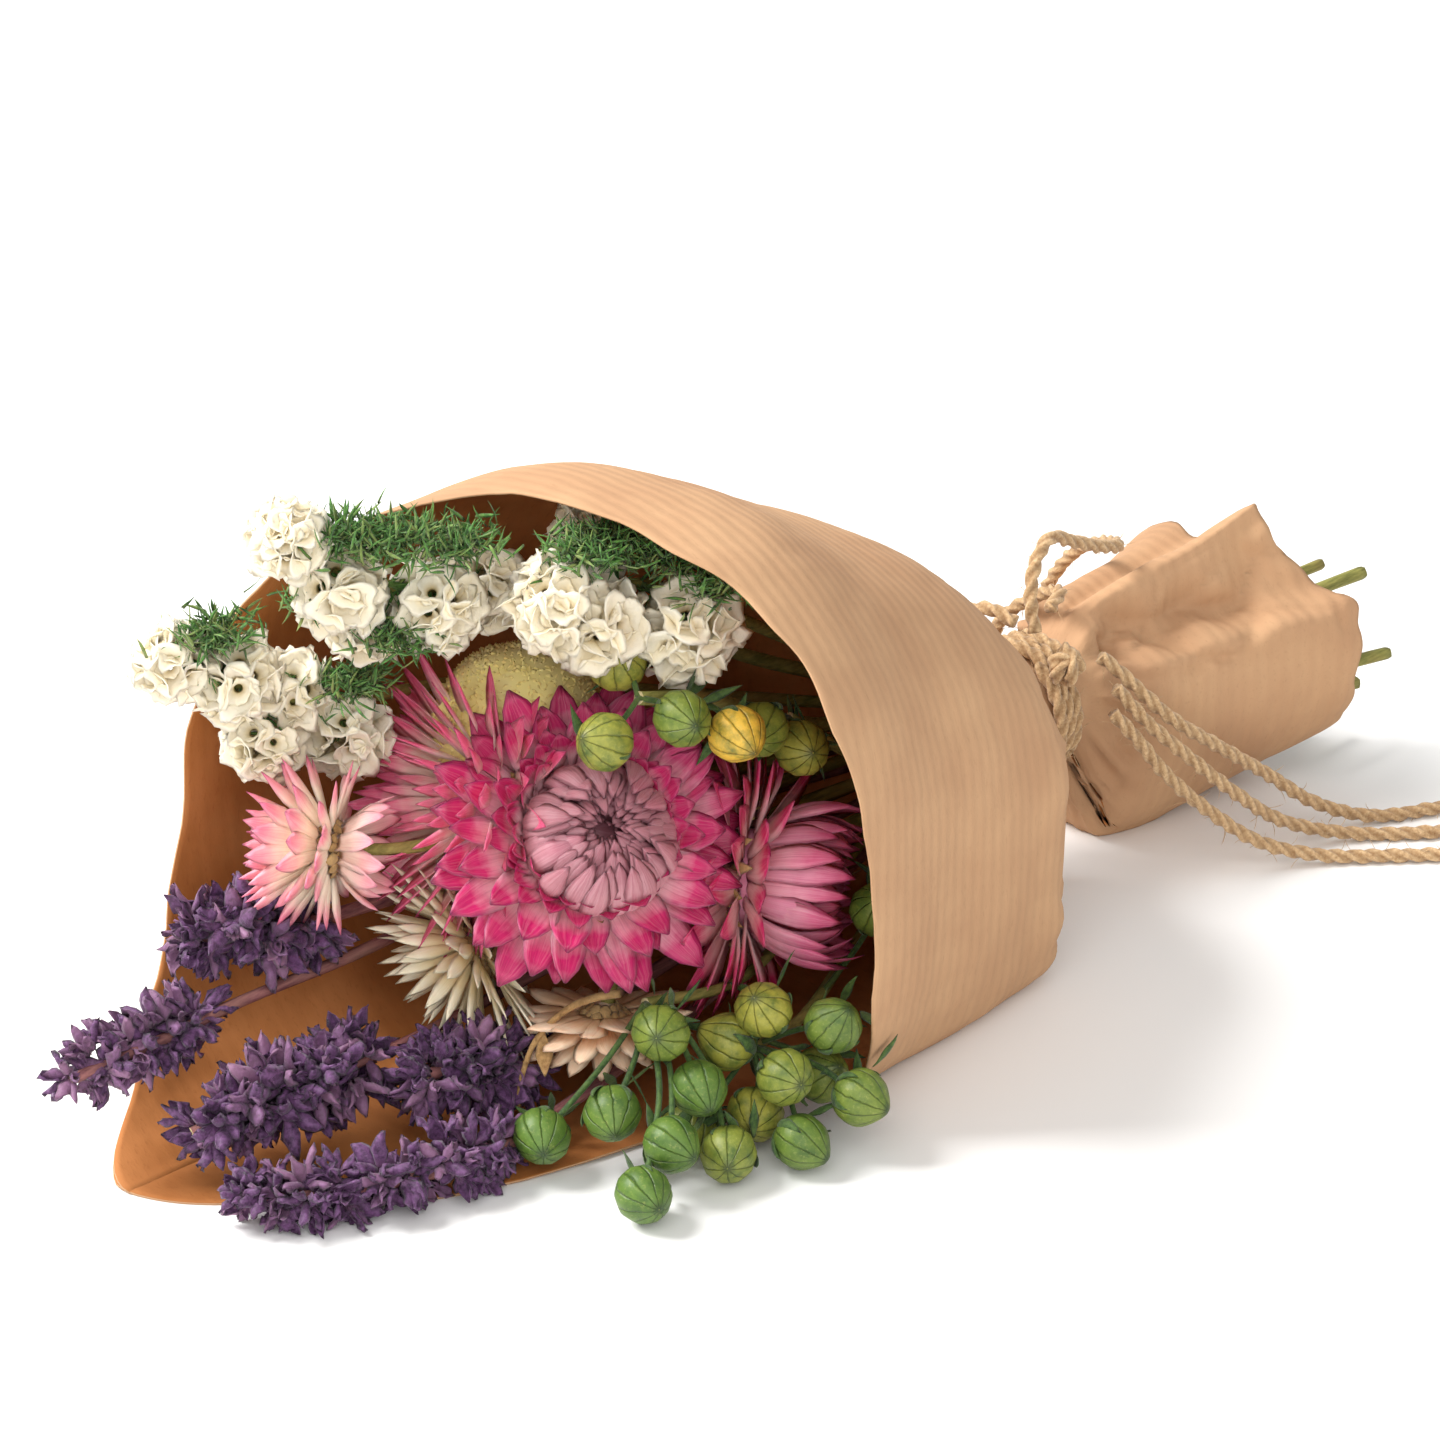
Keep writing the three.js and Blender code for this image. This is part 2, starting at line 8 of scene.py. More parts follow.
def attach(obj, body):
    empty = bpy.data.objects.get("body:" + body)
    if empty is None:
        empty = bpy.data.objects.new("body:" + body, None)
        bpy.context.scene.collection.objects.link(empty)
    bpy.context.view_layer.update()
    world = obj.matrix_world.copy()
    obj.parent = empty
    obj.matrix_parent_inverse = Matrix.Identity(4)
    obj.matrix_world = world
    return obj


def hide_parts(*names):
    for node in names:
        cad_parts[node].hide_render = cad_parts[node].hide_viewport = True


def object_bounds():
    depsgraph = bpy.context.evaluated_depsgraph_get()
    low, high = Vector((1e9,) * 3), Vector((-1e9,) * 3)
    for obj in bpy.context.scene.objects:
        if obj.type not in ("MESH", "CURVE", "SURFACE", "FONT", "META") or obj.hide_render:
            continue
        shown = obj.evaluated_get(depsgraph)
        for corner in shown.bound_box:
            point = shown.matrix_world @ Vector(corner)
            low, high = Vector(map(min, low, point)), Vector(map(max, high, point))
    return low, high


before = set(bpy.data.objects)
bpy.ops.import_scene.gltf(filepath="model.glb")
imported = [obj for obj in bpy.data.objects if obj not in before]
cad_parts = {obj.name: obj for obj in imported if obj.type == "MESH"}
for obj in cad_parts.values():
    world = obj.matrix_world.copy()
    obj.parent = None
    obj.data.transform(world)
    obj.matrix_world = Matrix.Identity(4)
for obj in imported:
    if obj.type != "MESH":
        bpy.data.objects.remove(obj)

# A posy of dried flowers in kraft paper, tied with jute twine, lying on a white table.
# Shapes are worked out in millimetres in the CAD frame and turned to metres when a mesh is made.
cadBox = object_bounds()
metre = 0.001
boxMiddle = (np.array(cadBox[0]) + np.array(cadBox[1])) / 2 / metre


# camera

shot = {
    "azimuth": -45,  # degrees round the posy, from its near side
    "elevation": 25,
    "distance": 600,
    "aim": boxMiddle + np.array([-40, -15, 12]),
    "lens": 115.4,  # mm, on a 36 mm sensor
}


def placeCamera():
    a, e = math.radians(shot["azimuth"]), math.radians(shot["elevation"])
    back = Vector((math.sin(a) * math.cos(e), -math.cos(a) * math.cos(e), math.sin(e)))
    right = Vector((math.cos(a), math.sin(a), 0))
    data = bpy.data.cameras.new("camera")
    data.lens = shot["lens"]
    data.sensor_width = 36
    data.clip_start = 0.01
    camera = bpy.data.objects.new("camera", data)
    turn = Matrix((right, back.cross(right), back)).transposed().to_4x4()
    camera.matrix_world = Matrix.Translation((Vector(shot["aim"]) + back * shot["distance"]) * metre) @ turn
    bpy.context.scene.collection.objects.link(camera)
    bpy.context.scene.camera = camera


placeCamera()
print("camera placed")


# small tools for curves and meshes

def unit(v):
    v = np.asarray(v, float)
    return v / np.maximum(np.linalg.norm(v, axis=-1, keepdims=True), 1e-9)


def ease(t):
    t = np.clip(t, 0, 1)
    return t * t * (3 - 2 * t)


def smoothCurve(points, perSpan=14):  # centripetal curve through the points
    p = np.asarray(points, float)
    p = np.vstack([2 * p[0] - p[1], p, 2 * p[-1] - p[-2]])
    spans = []
    t = np.linspace(0, 1, perSpan, endpoint=False)[:, None]
    for a, b, c, d in zip(p, p[1:], p[2:], p[3:]):
        ab, bc, cd = (max(np.linalg.norm(n - m) ** 0.5, 1e-4) for m, n in ((a, b), (b, c), (c, d)))
        leave = ((b - a) / ab - (c - a) / (ab + bc) + (c - b) / bc) * bc
        arrive = ((c - b) / bc - (d - b) / (bc + cd) + (d - c) / cd) * bc
        bend = (3 * c - 3 * b - 2 * leave - arrive) * t**2
        spans.append(b + leave * t + bend + (2 * b - 2 * c + leave + arrive) * t**3)
    return np.vstack([*spans, p[-2][None]])


def evenSteps(route, step):
    run = np.r_[0, np.cumsum(np.linalg.norm(np.diff(route, axis=0), axis=1))]
    at = np.linspace(0, run[-1], max(3, round(run[-1] / step) + 1))
    return np.stack([np.interp(at, run, route[:, k]) for k in range(3)], 1)


def routeLength(route):
    return np.linalg.norm(np.diff(route, axis=0), axis=1).sum()


def framesAlong(route):  # tangent and two sides that don't spin
    tangent = unit(np.gradient(route, axis=0))
    side = np.cross(tangent[0], [0, 0, 1] if abs(tangent[0][2]) < 0.9 else [1, 0, 0])
    sides = []
    for t in tangent:
        side = unit(side - t * (side @ t))
        sides.append(side)
    sides = np.array(sides)
    return tangent, sides, np.cross(tangent, sides)


def roundAbout(x, y, turn):  # directions at these angles round an axis
    return x * np.cos(turn)[..., None] + y * np.sin(turn)[..., None]


def keepAbove(points, height):  # what would pass through the table bends where it meets it
    points[..., 2] = np.maximum(points[..., 2], height)
    return points


def cornerMap(r, c, rows, wide, corners):  # where the corners of each face lie on the piece's map
    lie = [np.stack([(c + i) / wide, (r + j) / (rows - 1)], -1) for i, j in corners]
    return np.stack(lie, 2).reshape(-1, 4, 2)


acrossFirst = (0, 0), (1, 0), (1, 1), (0, 1)
alongFirst = (0, 0), (0, 1), (1, 1), (1, 0)


class Heap:  # the faces of one piece, gathered before its mesh is made
    def __init__(self):
        self.points, self.faces, self.uvs, self.tints, self.ages, self.finishes = [], [], [], [], [], []
        self.count = 0

    def add(self, points, faces, uvs, tint, age, finish):
        n = len(points)
        self.points.append(points)
        self.faces.append(faces + self.count)
        self.uvs.append(uvs)
        self.tints.append(np.broadcast_to(tint, n))
        self.ages.append(np.broadcast_to(age, n))
        self.finishes.append(np.full(len(faces), finish))
        self.count += n

    def skin(self, grid, tint=0.5, age=0.5, finish=0, capFinish=None):
        # a round body: rows along it, columns round it, closed at both ends
        rows, columns, _ = grid.shape
        r, c = np.meshgrid(np.arange(rows - 1), np.arange(columns), indexing="ij")
        n = (c + 1) % columns
        faces = [r * columns + c, r * columns + n, (r + 1) * columns + n, (r + 1) * columns + c]
        uvs = cornerMap(r, c, rows, columns, acrossFirst)
        self.add(grid.reshape(-1, 3), np.stack(faces, -1).reshape(-1, 4), uvs, tint, age, finish)
        first = self.count - rows * columns
        k = np.arange(columns // 2 - 1)
        strip = np.stack([k, (columns - k - 1) % columns, columns - k - 2, k + 1], 1)
        ends = np.vstack([strip, strip[:, ::-1] + (rows - 1) * columns]) + first
        self.faces.append(ends)
        self.uvs.append(np.full((len(ends), 4, 2), 0.5))
        self.finishes.append(np.full(len(ends), finish if capFinish is None else capFinish))

    def sheets(self, grids, thick, closed=False, tint=0.5, age=0.5, finish=0):
        # thin petals: a front and a back that meet at the edge; grids is (count, rows, columns, 3)
        count, rows, columns, _ = grids.shape
        wrapped = np.concatenate([grids[:, :, -1:], grids, grids[:, :, :1]], 2) if closed else grids
        normal = unit(np.cross(np.gradient(wrapped, axis=1), np.gradient(wrapped, axis=2)))
        edge = np.zeros((rows, columns), bool)
        edge[[0, -1]] = True
        if closed:
            normal = normal[:, :, 1:-1]
        else:
            edge[:, [0, -1]] = True
        swell = np.where(edge, 0, thick / 2)[None, :, :, None]
        inside = ~edge
        front = np.arange(rows * columns).reshape(rows, columns)
        back = front.copy()
        back[inside] = rows * columns + np.arange(inside.sum())
        wide = columns if closed else columns - 1
        r, c = np.meshgrid(np.arange(rows - 1), np.arange(wide), indexing="ij")
        n = (c + 1) % columns
        upper = np.stack([front[r, c], front[r + 1, c], front[r + 1, n], front[r, n]], -1).reshape(-1, 4)
        lower = np.stack([back[r, c], back[r, n], back[r + 1, n], back[r + 1, c]], -1).reshape(-1, 4)
        uvs = np.vstack([cornerMap(r, c, rows, wide, alongFirst), cornerMap(r, c, rows, wide, acrossFirst)])
        each = rows * columns + inside.sum()
        faces = np.vstack([upper, lower])[None] + (np.arange(count) * each)[:, None, None]
        fronts = (grids + normal * swell).reshape(count, -1, 3)
        points = np.concatenate([fronts, (grids - normal * swell)[:, inside]], 1)
        tint, age = (np.repeat(np.broadcast_to(value, count), each) for value in (tint, age))
        self.add(points.reshape(-1, 3), faces.reshape(-1, 4), np.tile(uvs, (count, 1, 1)), tint, age, finish)

    def tube(self, route, radius, sides, section=1.0, **look):  # round, or with a section of its own
        tangent, side, up = framesAlong(route)
        turn = np.linspace(0, 2 * np.pi, sides, endpoint=False)
        reach = np.broadcast_to(np.reshape(radius, (-1, 1)) * section, (len(route), sides))[..., None]
        self.skin(route[:, None] + roundAbout(side[:, None], up[:, None], turn) * reach, **look)


def makePiece(name, heap, finishes, nodes=()):
    points = np.concatenate(heap.points) * metre
    faces = np.concatenate(heap.faces).astype(np.int32)
    mesh = bpy.data.meshes.new(name)
    mesh.vertices.add(len(points))
    mesh.vertices.foreach_set("co", points.astype(np.float32).ravel())
    mesh.loops.add(faces.size)
    mesh.loops.foreach_set("vertex_index", faces.ravel())
    mesh.polygons.add(len(faces))
    mesh.polygons.foreach_set("loop_start", np.arange(len(faces), dtype=np.int32) * 4)
    mesh.polygons.foreach_set("material_index", np.concatenate(heap.finishes).astype(np.int32))
    mesh.update(calc_edges=True)
    mesh.uv_layers.new(name="UVMap").data.foreach_set("uv", np.concatenate(heap.uvs).astype(np.float32).ravel())
    for key, values in (("tint", heap.tints), ("age", heap.ages)):
        mesh.attributes.new(key, "FLOAT", "POINT").data.foreach_set("value", np.concatenate(values).astype(np.float32))
    mesh.polygons.foreach_set("use_smooth", np.ones(len(faces), bool))
    for finish in finishes:
        mesh.materials.append(finish)
    piece = bpy.data.objects.new(name, mesh)
    bpy.context.scene.collection.objects.link(piece)
    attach(piece, "root")
    if nodes:
        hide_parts(*nodes)
    return piece


def petalGrid(count, dice, length, width, rise=0, curl=0, cup=30, twist=0, point=0.5, waist=0.4, widest=0.5,
              rows=8, columns=5, scatter=6, ruffle=0):
    # petals in their own axes: out along the petal, across it, and up towards its face
    # rise, curl, cup, twist and scatter are in degrees; point, waist and widest are shares of the petal
    t = np.linspace(0, 1, rows)[None, :]
    s = np.linspace(-1, 1, columns)[None, None, :]
    vary = lambda amount: 1 + dice.normal(0, amount, count)[:, None]
    lean = np.radians(rise + dice.normal(0, scatter, count))[:, None]
    bend = np.radians(curl * vary(0.12)) * t**1.25
    angle = lean + bend
    middle = (angle[:, 1:] + angle[:, :-1]) / 2
    step = length * vary(0.07) / (rows - 1)
    out = np.concatenate([np.zeros((count, 1)), np.cumsum(np.cos(middle) * step, 1)], 1)
    up = np.concatenate([np.zeros((count, 1)), np.cumsum(np.sin(middle) * step, 1)], 1)
    past = np.clip((t - widest) / (1 - widest), 0, 1)
    narrowing = (1 - point) * np.sqrt(1 - 0.985 * past**2.4) + point * (1 - 0.96 * past)  # a round tip or a sharp one
    outline = (waist + (1 - waist) * ease(t / widest)) * narrowing
    half = np.radians(np.maximum(cup * vary(0.2), 4))[:, :, None]
    breadth = (width / 2 * vary(0.1) * outline)[:, :, None]
    across = breadth * np.sin(half * s) / half
    lift = breadth * (1 - np.cos(half * s)) / half
    if ruffle:
        phase = dice.uniform(0, 2 * np.pi, (count, 1, 1))
        lift = lift + ruffle * np.abs(s) * np.sin(t[:, :, None] * 11 + phase + 2 * s)
    roll = np.radians(twist * dice.normal(0, 1, count))[:, None, None] * t[:, :, None]
    across, lift = across * np.cos(roll) - lift * np.sin(roll), across * np.sin(roll) + lift * np.cos(roll)
    angle = angle[:, :, None]
    return np.stack([out[:, :, None] - lift * np.sin(angle), across, up[:, :, None] + lift * np.cos(angle)], -1)


def setPetals(grid, origin, out, up):
    # stands each petal on its origin, with its own out and up directions
    out = unit(out)
    up = unit(up - out * (up * out).sum(-1, keepdims=True))
    across = np.cross(up, out)
    parts = [grid[..., k : k + 1] * axis[:, None, None] for k, axis in enumerate((out, across, up))]
    return np.asarray(origin)[:, None, None] + sum(parts)


def axesOf(face):
    up = unit(face)
    side = unit(np.cross(up, [0.13, 0.2, 1]))
    return side, np.cross(up, side), up


def spread(count):  # evenly spaced directions on a ball
    k = np.arange(count) + 0.5
    z = 1 - 2 * k / count
    turn = k * np.pi * (3 - 5**0.5)
    r = np.sqrt(1 - z * z)
    return np.stack([r * np.cos(turn), r * np.sin(turn), z], 1)


# materials

def colour(code):  # sRGB hex to linear
    parts = [int(code[k : k + 2], 16) / 255 for k in (1, 3, 5)]
    return [p / 12.92 if p <= 0.04045 else ((p + 0.055) / 1.055) ** 2.4 for p in parts] + [1]


def perMetre(millimetres):  # a pattern's scale from its real size
    return 1000 / millimetres


def newFinish(name, **values):  # constant values go on the shader's own sockets
    material = bpy.data.materials.new(name)
    material.use_nodes = True
    for key, value in values.items():
        material.node_tree.nodes["Principled BSDF"].inputs[key.replace("_", " ")].default_value = value
    return material, material.node_tree


def addNode(tree, kind, inputs=None, output=0, **settings):
    node = tree.nodes.new("ShaderNode" + kind)
    for key, value in settings.items():
        setattr(node, key, value)
    for key, value in (inputs or {}).items():
        if isinstance(value, bpy.types.NodeSocket):
            tree.links.new(value, node.inputs[key])
        else:
            node.inputs[key].default_value = colour(value) if isinstance(value, str) else value
    return node.outputs[output]


colourMix = {"output": 2, "data_type": "RGBA"}  # a mix node's inputs are 0 the factor, 6 and 7 the colours


def layColours(tree, body, *layers):
    # lays colours over a body colour; a layer is its pattern, the range of it (from, to, least, most) and its colour
    for pattern, limits, over in layers:
        share = addNode(tree, "MapRange", {0: pattern, **dict(enumerate(limits, 1))})
        body = addNode(tree, "Mix", {0: share, 6: body, 7: over}, **colourMix)
    return body


def cover(material, body, relief=None):  # joins the finished colour and relief to the shader
    tree = material.node_tree
    shader = tree.nodes["Principled BSDF"]
    tree.links.new(body, shader.inputs["Base Color"])
    if relief:
        tree.links.new(relief, shader.inputs["Normal"])
    return material


def kraftPaper(name, light, dark, fleck, ribbing):
    # unbleached kraft run over ribbed rollers: matt brown, clouded by its fibres, with fine ribs that catch the light
    material, tree = newFinish(name, Roughness=0.8, Specular_IOR_Level=0.25)
    place = addNode(tree, "TexCoord", output="Object")
    sheet = addNode(tree, "UVMap", uv_map="UVMap")  # 100 mm to a unit
    grain = addNode(tree, "Mapping", {"Vector": sheet, "Scale": (0.35, 1, 1)})
    ribScale = 0.314 * 100 / 2.4  # ribs 2.4 mm apart, drawn as coarse as they need to show
    cloud = addNode(tree, "TexNoise", {"Vector": place, "Scale": perMetre(14), "Detail": 4})
    fibre = addNode(tree, "TexNoise", {"Vector": grain, "Scale": 100 / 0.6, "Detail": 3, "Roughness": 0.7})
    ribs = addNode(tree, "TexWave", {"Vector": sheet, "Scale": ribScale, "Distortion": 0.5, "Detail": 1}, "Fac",
                   bands_direction="Y")
    body = layColours(tree, dark, (cloud, (0.35, 0.68), light), (fibre, (0.56, 0.78, 0, 0.5), fleck),
                      (ribs, (0.1, 0.9, 0, 0.22 * ribbing), dark))
    rough = addNode(tree, "Bump", {"Height": fibre, "Distance": 0.05 * metre, "Strength": 0.7})
    ribbed = {"Height": ribs, "Distance": 0.13 * metre * ribbing, "Strength": 0.6, "Normal": rough}
    return cover(material, body, addNode(tree, "Bump", ribbed))


def juteTwine():
    # three-ply jute, spun and left unbleached: pale straw fibres, with painted shade in the hollows between the plies
    material, tree = newFinish("jute_three_ply", Roughness=0.95, Specular_IOR_Level=0.15, Sheen_Weight=0.2)
    place = addNode(tree, "TexCoord", output="Object")
    hollow = addNode(tree, "Attribute", output="Fac", attribute_name="tint")
    fibre = addNode(tree, "TexNoise", {"Vector": place, "Scale": perMetre(0.5), "Detail": 4, "Roughness": 0.7})
    # the tint attribute here carries the plies' painted shade, darker brown in the hollows
    body = layColours(tree, "#a37d55", (fibre, (0.3, 0.7), "#dfc095"), (hollow, (0, 1, 0, 0.55), "#7d5a38"))
    return cover(material, body, addNode(tree, "Bump", {"Height": fibre, "Distance": 0.22 * metre, "Strength": 0.8}))


def dryStem(name, light, dark, woody):
    # air-dried stalk, finely ribbed along its length: dull, greener where the sap was last to go
    material, tree = newFinish(name, Roughness=0.75, Specular_IOR_Level=0.3)
    place = addNode(tree, "TexCoord", output="Object")
    along = addNode(tree, "Mapping", {"Vector": place, "Scale": (0.12, 1, 1)})
    streak = addNode(tree, "TexNoise", {"Vector": along, "Scale": perMetre(0.6), "Detail": 4, "Roughness": 0.65})
    patch = addNode(tree, "TexNoise", {"Vector": place, "Scale": perMetre(9), "Detail": 2})
    body = layColours(tree, dark, (streak, (0.35, 0.65), light), (patch, (0.45, 0.75, 0, 0.6), woody))
    return cover(material, body, addNode(tree, "Bump", {"Height": streak, "Distance": 0.12 * metre, "Strength": 0.8}))


def cutPith():
    # stalk cut across with scissors: a pale, dry, porous core
    material, tree = newFinish("cut_pith", Roughness=0.9)
    place = addNode(tree, "TexCoord", output="Object")
    pores = addNode(tree, "TexNoise", {"Vector": place, "Scale": perMetre(0.35), "Detail": 3})
    return cover(material, addNode(tree, "Mix", {0: pores, 6: "#b39a5c", 7: "#ece0b6"}, **colourMix))


def paperyBract(name, foot, blade, tip, inner, innerTip, grooveShadeColour, sheenAmount):
    # strawflower bract, dried crisp like paper: silky and finely lined along it, with painted sheen on the lines'
    # ridges and painted shade in the grooves between them; pale at its foot, deep at its tip
    material, tree = newFinish(name, Roughness=0.4, Specular_IOR_Level=0.45, Subsurface_Weight=0.15,
                               Subsurface_Scale=0.0015, Subsurface_Radius=(1, 0.4, 0.4))
    along = addNode(tree, "UVMap", uv_map="UVMap")
    u = addNode(tree, "SeparateXYZ", {0: along})
    v = addNode(tree, "SeparateXYZ", {0: along}, 1)
    tint = addNode(tree, "Attribute", output="Fac", attribute_name="tint")
    age = addNode(tree, "Attribute", output="Fac", attribute_name="age")
    place = addNode(tree, "TexCoord", output="Object")
    mottle = addNode(tree, "TexNoise", {"Vector": place, "Scale": perMetre(2.2), "Detail": 3})
    uneven = addNode(tree, "MapRange", {0: mottle, 3: -0.14, 4: 0.14})
    reach = addNode(tree, "Math", {0: v, 1: uneven}, operation="ADD")
    fan = addNode(tree, "CombineXYZ", {0: u, 1: addNode(tree, "MapRange", {0: v, 4: 0.07}), 2: tint})
    lines = addNode(tree, "TexNoise", {"Vector": fan, "Scale": 16, "Detail": 3, "Roughness": 0.7})
    old = layColours(tree, foot, (reach, (0.42, 0.74), blade), (reach, (0.74, 1.02), tip))
    young = layColours(tree, inner, (reach, (0.35, 1), innerTip))
    body = layColours(tree, young, (age, (0.1, 0.6), old))
    # painted sheen: near-white streaks along the ridges of the lines
    sheenStreak = addNode(tree, "Mix", {0: 0.4, 6: body, 7: "#fff0ec"}, **colourMix)
    body = layColours(tree, body, (lines, (0.45, 0.72, 0, sheenAmount), sheenStreak))
    # painted shade: darker streaks in the grooves between the lines
    grooveShade = addNode(tree, "Mix", {0: 0.35, 6: body, 7: grooveShadeColour}, **colourMix)
    body = layColours(tree, body, (lines, (0.5, 0.3, 0, 0.7), grooveShade))
    return cover(material, body, addNode(tree, "Bump", {"Height": lines, "Distance": 0.16 * metre, "Strength": 0.7}))


def whiteCalyx():
    # dried statice calyx, thin and crinkled like tissue: off-white and lit through, creamier in its throat
    material, tree = newFinish("statice_calyx", Roughness=0.6, Specular_IOR_Level=0.3, Subsurface_Weight=0.4,
                               Subsurface_Scale=0.002, Subsurface_Radius=(1, 0.9, 0.7))
    v = addNode(tree, "SeparateXYZ", {0: addNode(tree, "UVMap", uv_map="UVMap")}, 1)
    tint = addNode(tree, "Attribute", output="Fac", attribute_name="tint")
    place = addNode(tree, "TexCoord", output="Object")
    crinkle = addNode(tree, "TexNoise", {"Vector": place, "Scale": perMetre(1.1), "Detail": 4, "Roughness": 0.7})
    body = layColours(tree, "#dcc48a", (v, (0.05, 0.55), "#fff5da"), (tint, (0, 1, 0.35, 0), "#f3dfb6"),
                      (crinkle, (0.55, 0.8, 0, 0.25), "#ead5a6"))
    return cover(material, body, addNode(tree, "Bump", {"Height": crinkle, "Distance": 0.25 * metre, "Strength": 0.7}))


def softPetal(name, light, dark, vein, rough):
    # air-dried petal or leaf, shrunk and wrinkled: a deep matt colour with painted highlights on its wrinkles' crests
    # and painted shade in their troughs, paler on its ribs and at its foot
    material, tree = newFinish(name, Roughness=rough, Specular_IOR_Level=0.3, Sheen_Weight=0.15)
    v = addNode(tree, "SeparateXYZ", {0: addNode(tree, "UVMap", uv_map="UVMap")}, 1)
    tint = addNode(tree, "Attribute", output="Fac", attribute_name="tint")
    place = addNode(tree, "TexCoord", output="Object")
    wrinkle = addNode(tree, "TexNoise", {"Vector": place, "Scale": perMetre(0.9), "Detail": 4, "Roughness": 0.7})
    # painted light: the light colour is the petal's highlight, laid on the wrinkles' crests; the dark colour is left in
    # their troughs as painted shade
    body = layColours(tree, dark, (wrinkle, (0.34, 0.64), light), (tint, (0.6, 1, 0, 0.6), vein),
                      (v, (0, 0.35, 0.4, 0), vein))
    return cover(material, body, addNode(tree, "Bump", {"Height": wrinkle, "Distance": 0.25 * metre, "Strength": 0.8}))


def flaxPodSkin(ribs):
    # dried flax capsule, thin and smooth: green going yellow, with dark seams from its tip to its stalk
    material, tree = newFinish("flax_pod_skin", Roughness=0.45, Specular_IOR_Level=0.4)
    along = addNode(tree, "UVMap", uv_map="UVMap")
    u = addNode(tree, "SeparateXYZ", {0: along})
    v = addNode(tree, "SeparateXYZ", {0: along}, 1)
    tint = addNode(tree, "Attribute", output="Fac", attribute_name="tint")
    place = addNode(tree, "TexCoord", output="Object")
    mottle = addNode(tree, "TexNoise", {"Vector": place, "Scale": perMetre(2.6), "Detail": 4, "Roughness": 0.65})
    fine = addNode(tree, "TexNoise", {"Vector": place, "Scale": perMetre(0.5), "Detail": 3, "Roughness": 0.7})
    seam = addNode(tree, "MapRange", {0: mottle, 3: -0.02, 4: 0.02})  # the seams wander a little
    for operation, other in (("ADD", u), ("MULTIPLY", ribs), ("FRACT", None), ("SUBTRACT", 0.5), ("ABSOLUTE", None)):
        seam = addNode(tree, "Math", {0: seam} if other is None else {0: seam, 1: other}, operation=operation)
    body = layColours(tree, "#58742c", (tint, (0.2, 0.9), "#a09a3e"), (tint, (0.93, 0.98), "#d8b040"),
                      (mottle, (0.42, 0.72, 0, 0.9), "#34521f"), (fine, (0.55, 0.75, 0, 0.35), "#b5b568"),
                      (seam, (0.01, 0.05, 0.6, 0), "#1f3616"), (v, (0.9, 1, 0, 0.85), "#1b2c1a"))
    sunk = addNode(tree, "MapRange", {0: seam, 2: 0.1})
    groove = addNode(tree, "Bump", {"Height": sunk, "Distance": 0.25 * metre, "Strength": 0.8})
    grainy = {"Height": fine, "Distance": 0.08 * metre, "Strength": 0.6, "Normal": groove}
    return cover(material, body, addNode(tree, "Bump", grainy))


def yellowFlorets():
    # billy button florets, packed and dusted with pollen: warm yellow, with painted shade low between them
    material, tree = newFinish("billy_button_florets", Roughness=0.9, Specular_IOR_Level=0.15, Sheen_Weight=0.2)
    v = addNode(tree, "SeparateXYZ", {0: addNode(tree, "UVMap", uv_map="UVMap")}, 1)
    tint = addNode(tree, "Attribute", output="Fac", attribute_name="tint")
    place = addNode(tree, "TexCoord", output="Object")
    patch = addNode(tree, "TexNoise", {"Vector": place, "Scale": perMetre(5), "Detail": 3})
    # v paints shade at each floret's foot and on the far side of the dome under them; tint paints shade in the ball's
    # dips, with random variation
    return cover(material, layColours(tree, "#ffd06a", (v, (0, 0.5), "#fff0a0"), (tint, (0, 1, 0.35, 0), "#ffd078"),
                                      (patch, (0.5, 0.75, 0, 0.4), "#fff6c4")))


bractColours = {
    # foot, blade, tip, young bract, its tip, the painted shade in the grooves between the lines, and how strongly the
    # painted sheen shows on the lines
    "magenta": ("#f6bcc4", "#cc2068", "#9c0a46", "#cc9098", "#9c5a66", "#74283f", 0.3),
    "rose": ("#f2b8b8", "#dc2468", "#b20f4e", "#f39ab6", "#c43a70", "#b02c5c", 0.45),
    "pink": ("#ffe2d2", "#f0648c", "#cc2462", "#f9c4c0", "#e65c84", "#b42858", 0.5),
    "blush": ("#fdeace", "#f59aa2", "#dc4a7c", "#fbd6c8", "#ee7e96", "#c25476", 0.5),
    "cream": ("#f8e2b4", "#fff2d6", "#faeac6", "#fff0d6", "#f6e2bc", "#dcb884", 0.2),
    "peach": ("#eebb8e", "#ffdcbc", "#f8c49e", "#fadcbe", "#efb994", "#c88a60", 0.35),
}
kraftOutside = kraftPaper("kraft_outside", "#c49c76", "#b68d6a", "#9f7a58", 1)
# the inside of the roll is the same kraft, painted darker and more orange as painted shade and painted bounce light
# inside the cone
kraftInsideShaded = kraftPaper("kraft_inside_painted_shade", "#c27f4a", "#a96936", "#8a4e24", 0.3)
jute = juteTwine()
oliveStem = dryStem("dry_stem", "#9a9550", "#6b6b34", "#9a7a48")
rosyStem = dryStem("rosy_stem", "#a06a66", "#6d3f45", "#8a6a58")
pith = cutPith()
bractFinishes = {name: paperyBract(name + "_bract", *colours) for name, colours in bractColours.items()}
calyxWhite = whiteCalyx()
# in each finish below the first colour is a painted highlight and the second a painted shade
mossGreen = softPetal("statice_green", "#5f9440", "#2c4f20", "#9aa05a", 0.7)
larkspurPetal = softPetal("larkspur_petal", "#724a76", "#301632", "#a0748e", 0.5)
budGreen = softPetal("flax_green", "#4f6a2e", "#26401c", "#6f7d3e", 0.6)
tanLeaf = softPetal("dry_leaf", "#b8925e", "#7d5a32", "#cfb07a", 0.7)
florets = yellowFlorets()
print("materials made")


# twine: three turns round the paper, a knot, two loops and two tails

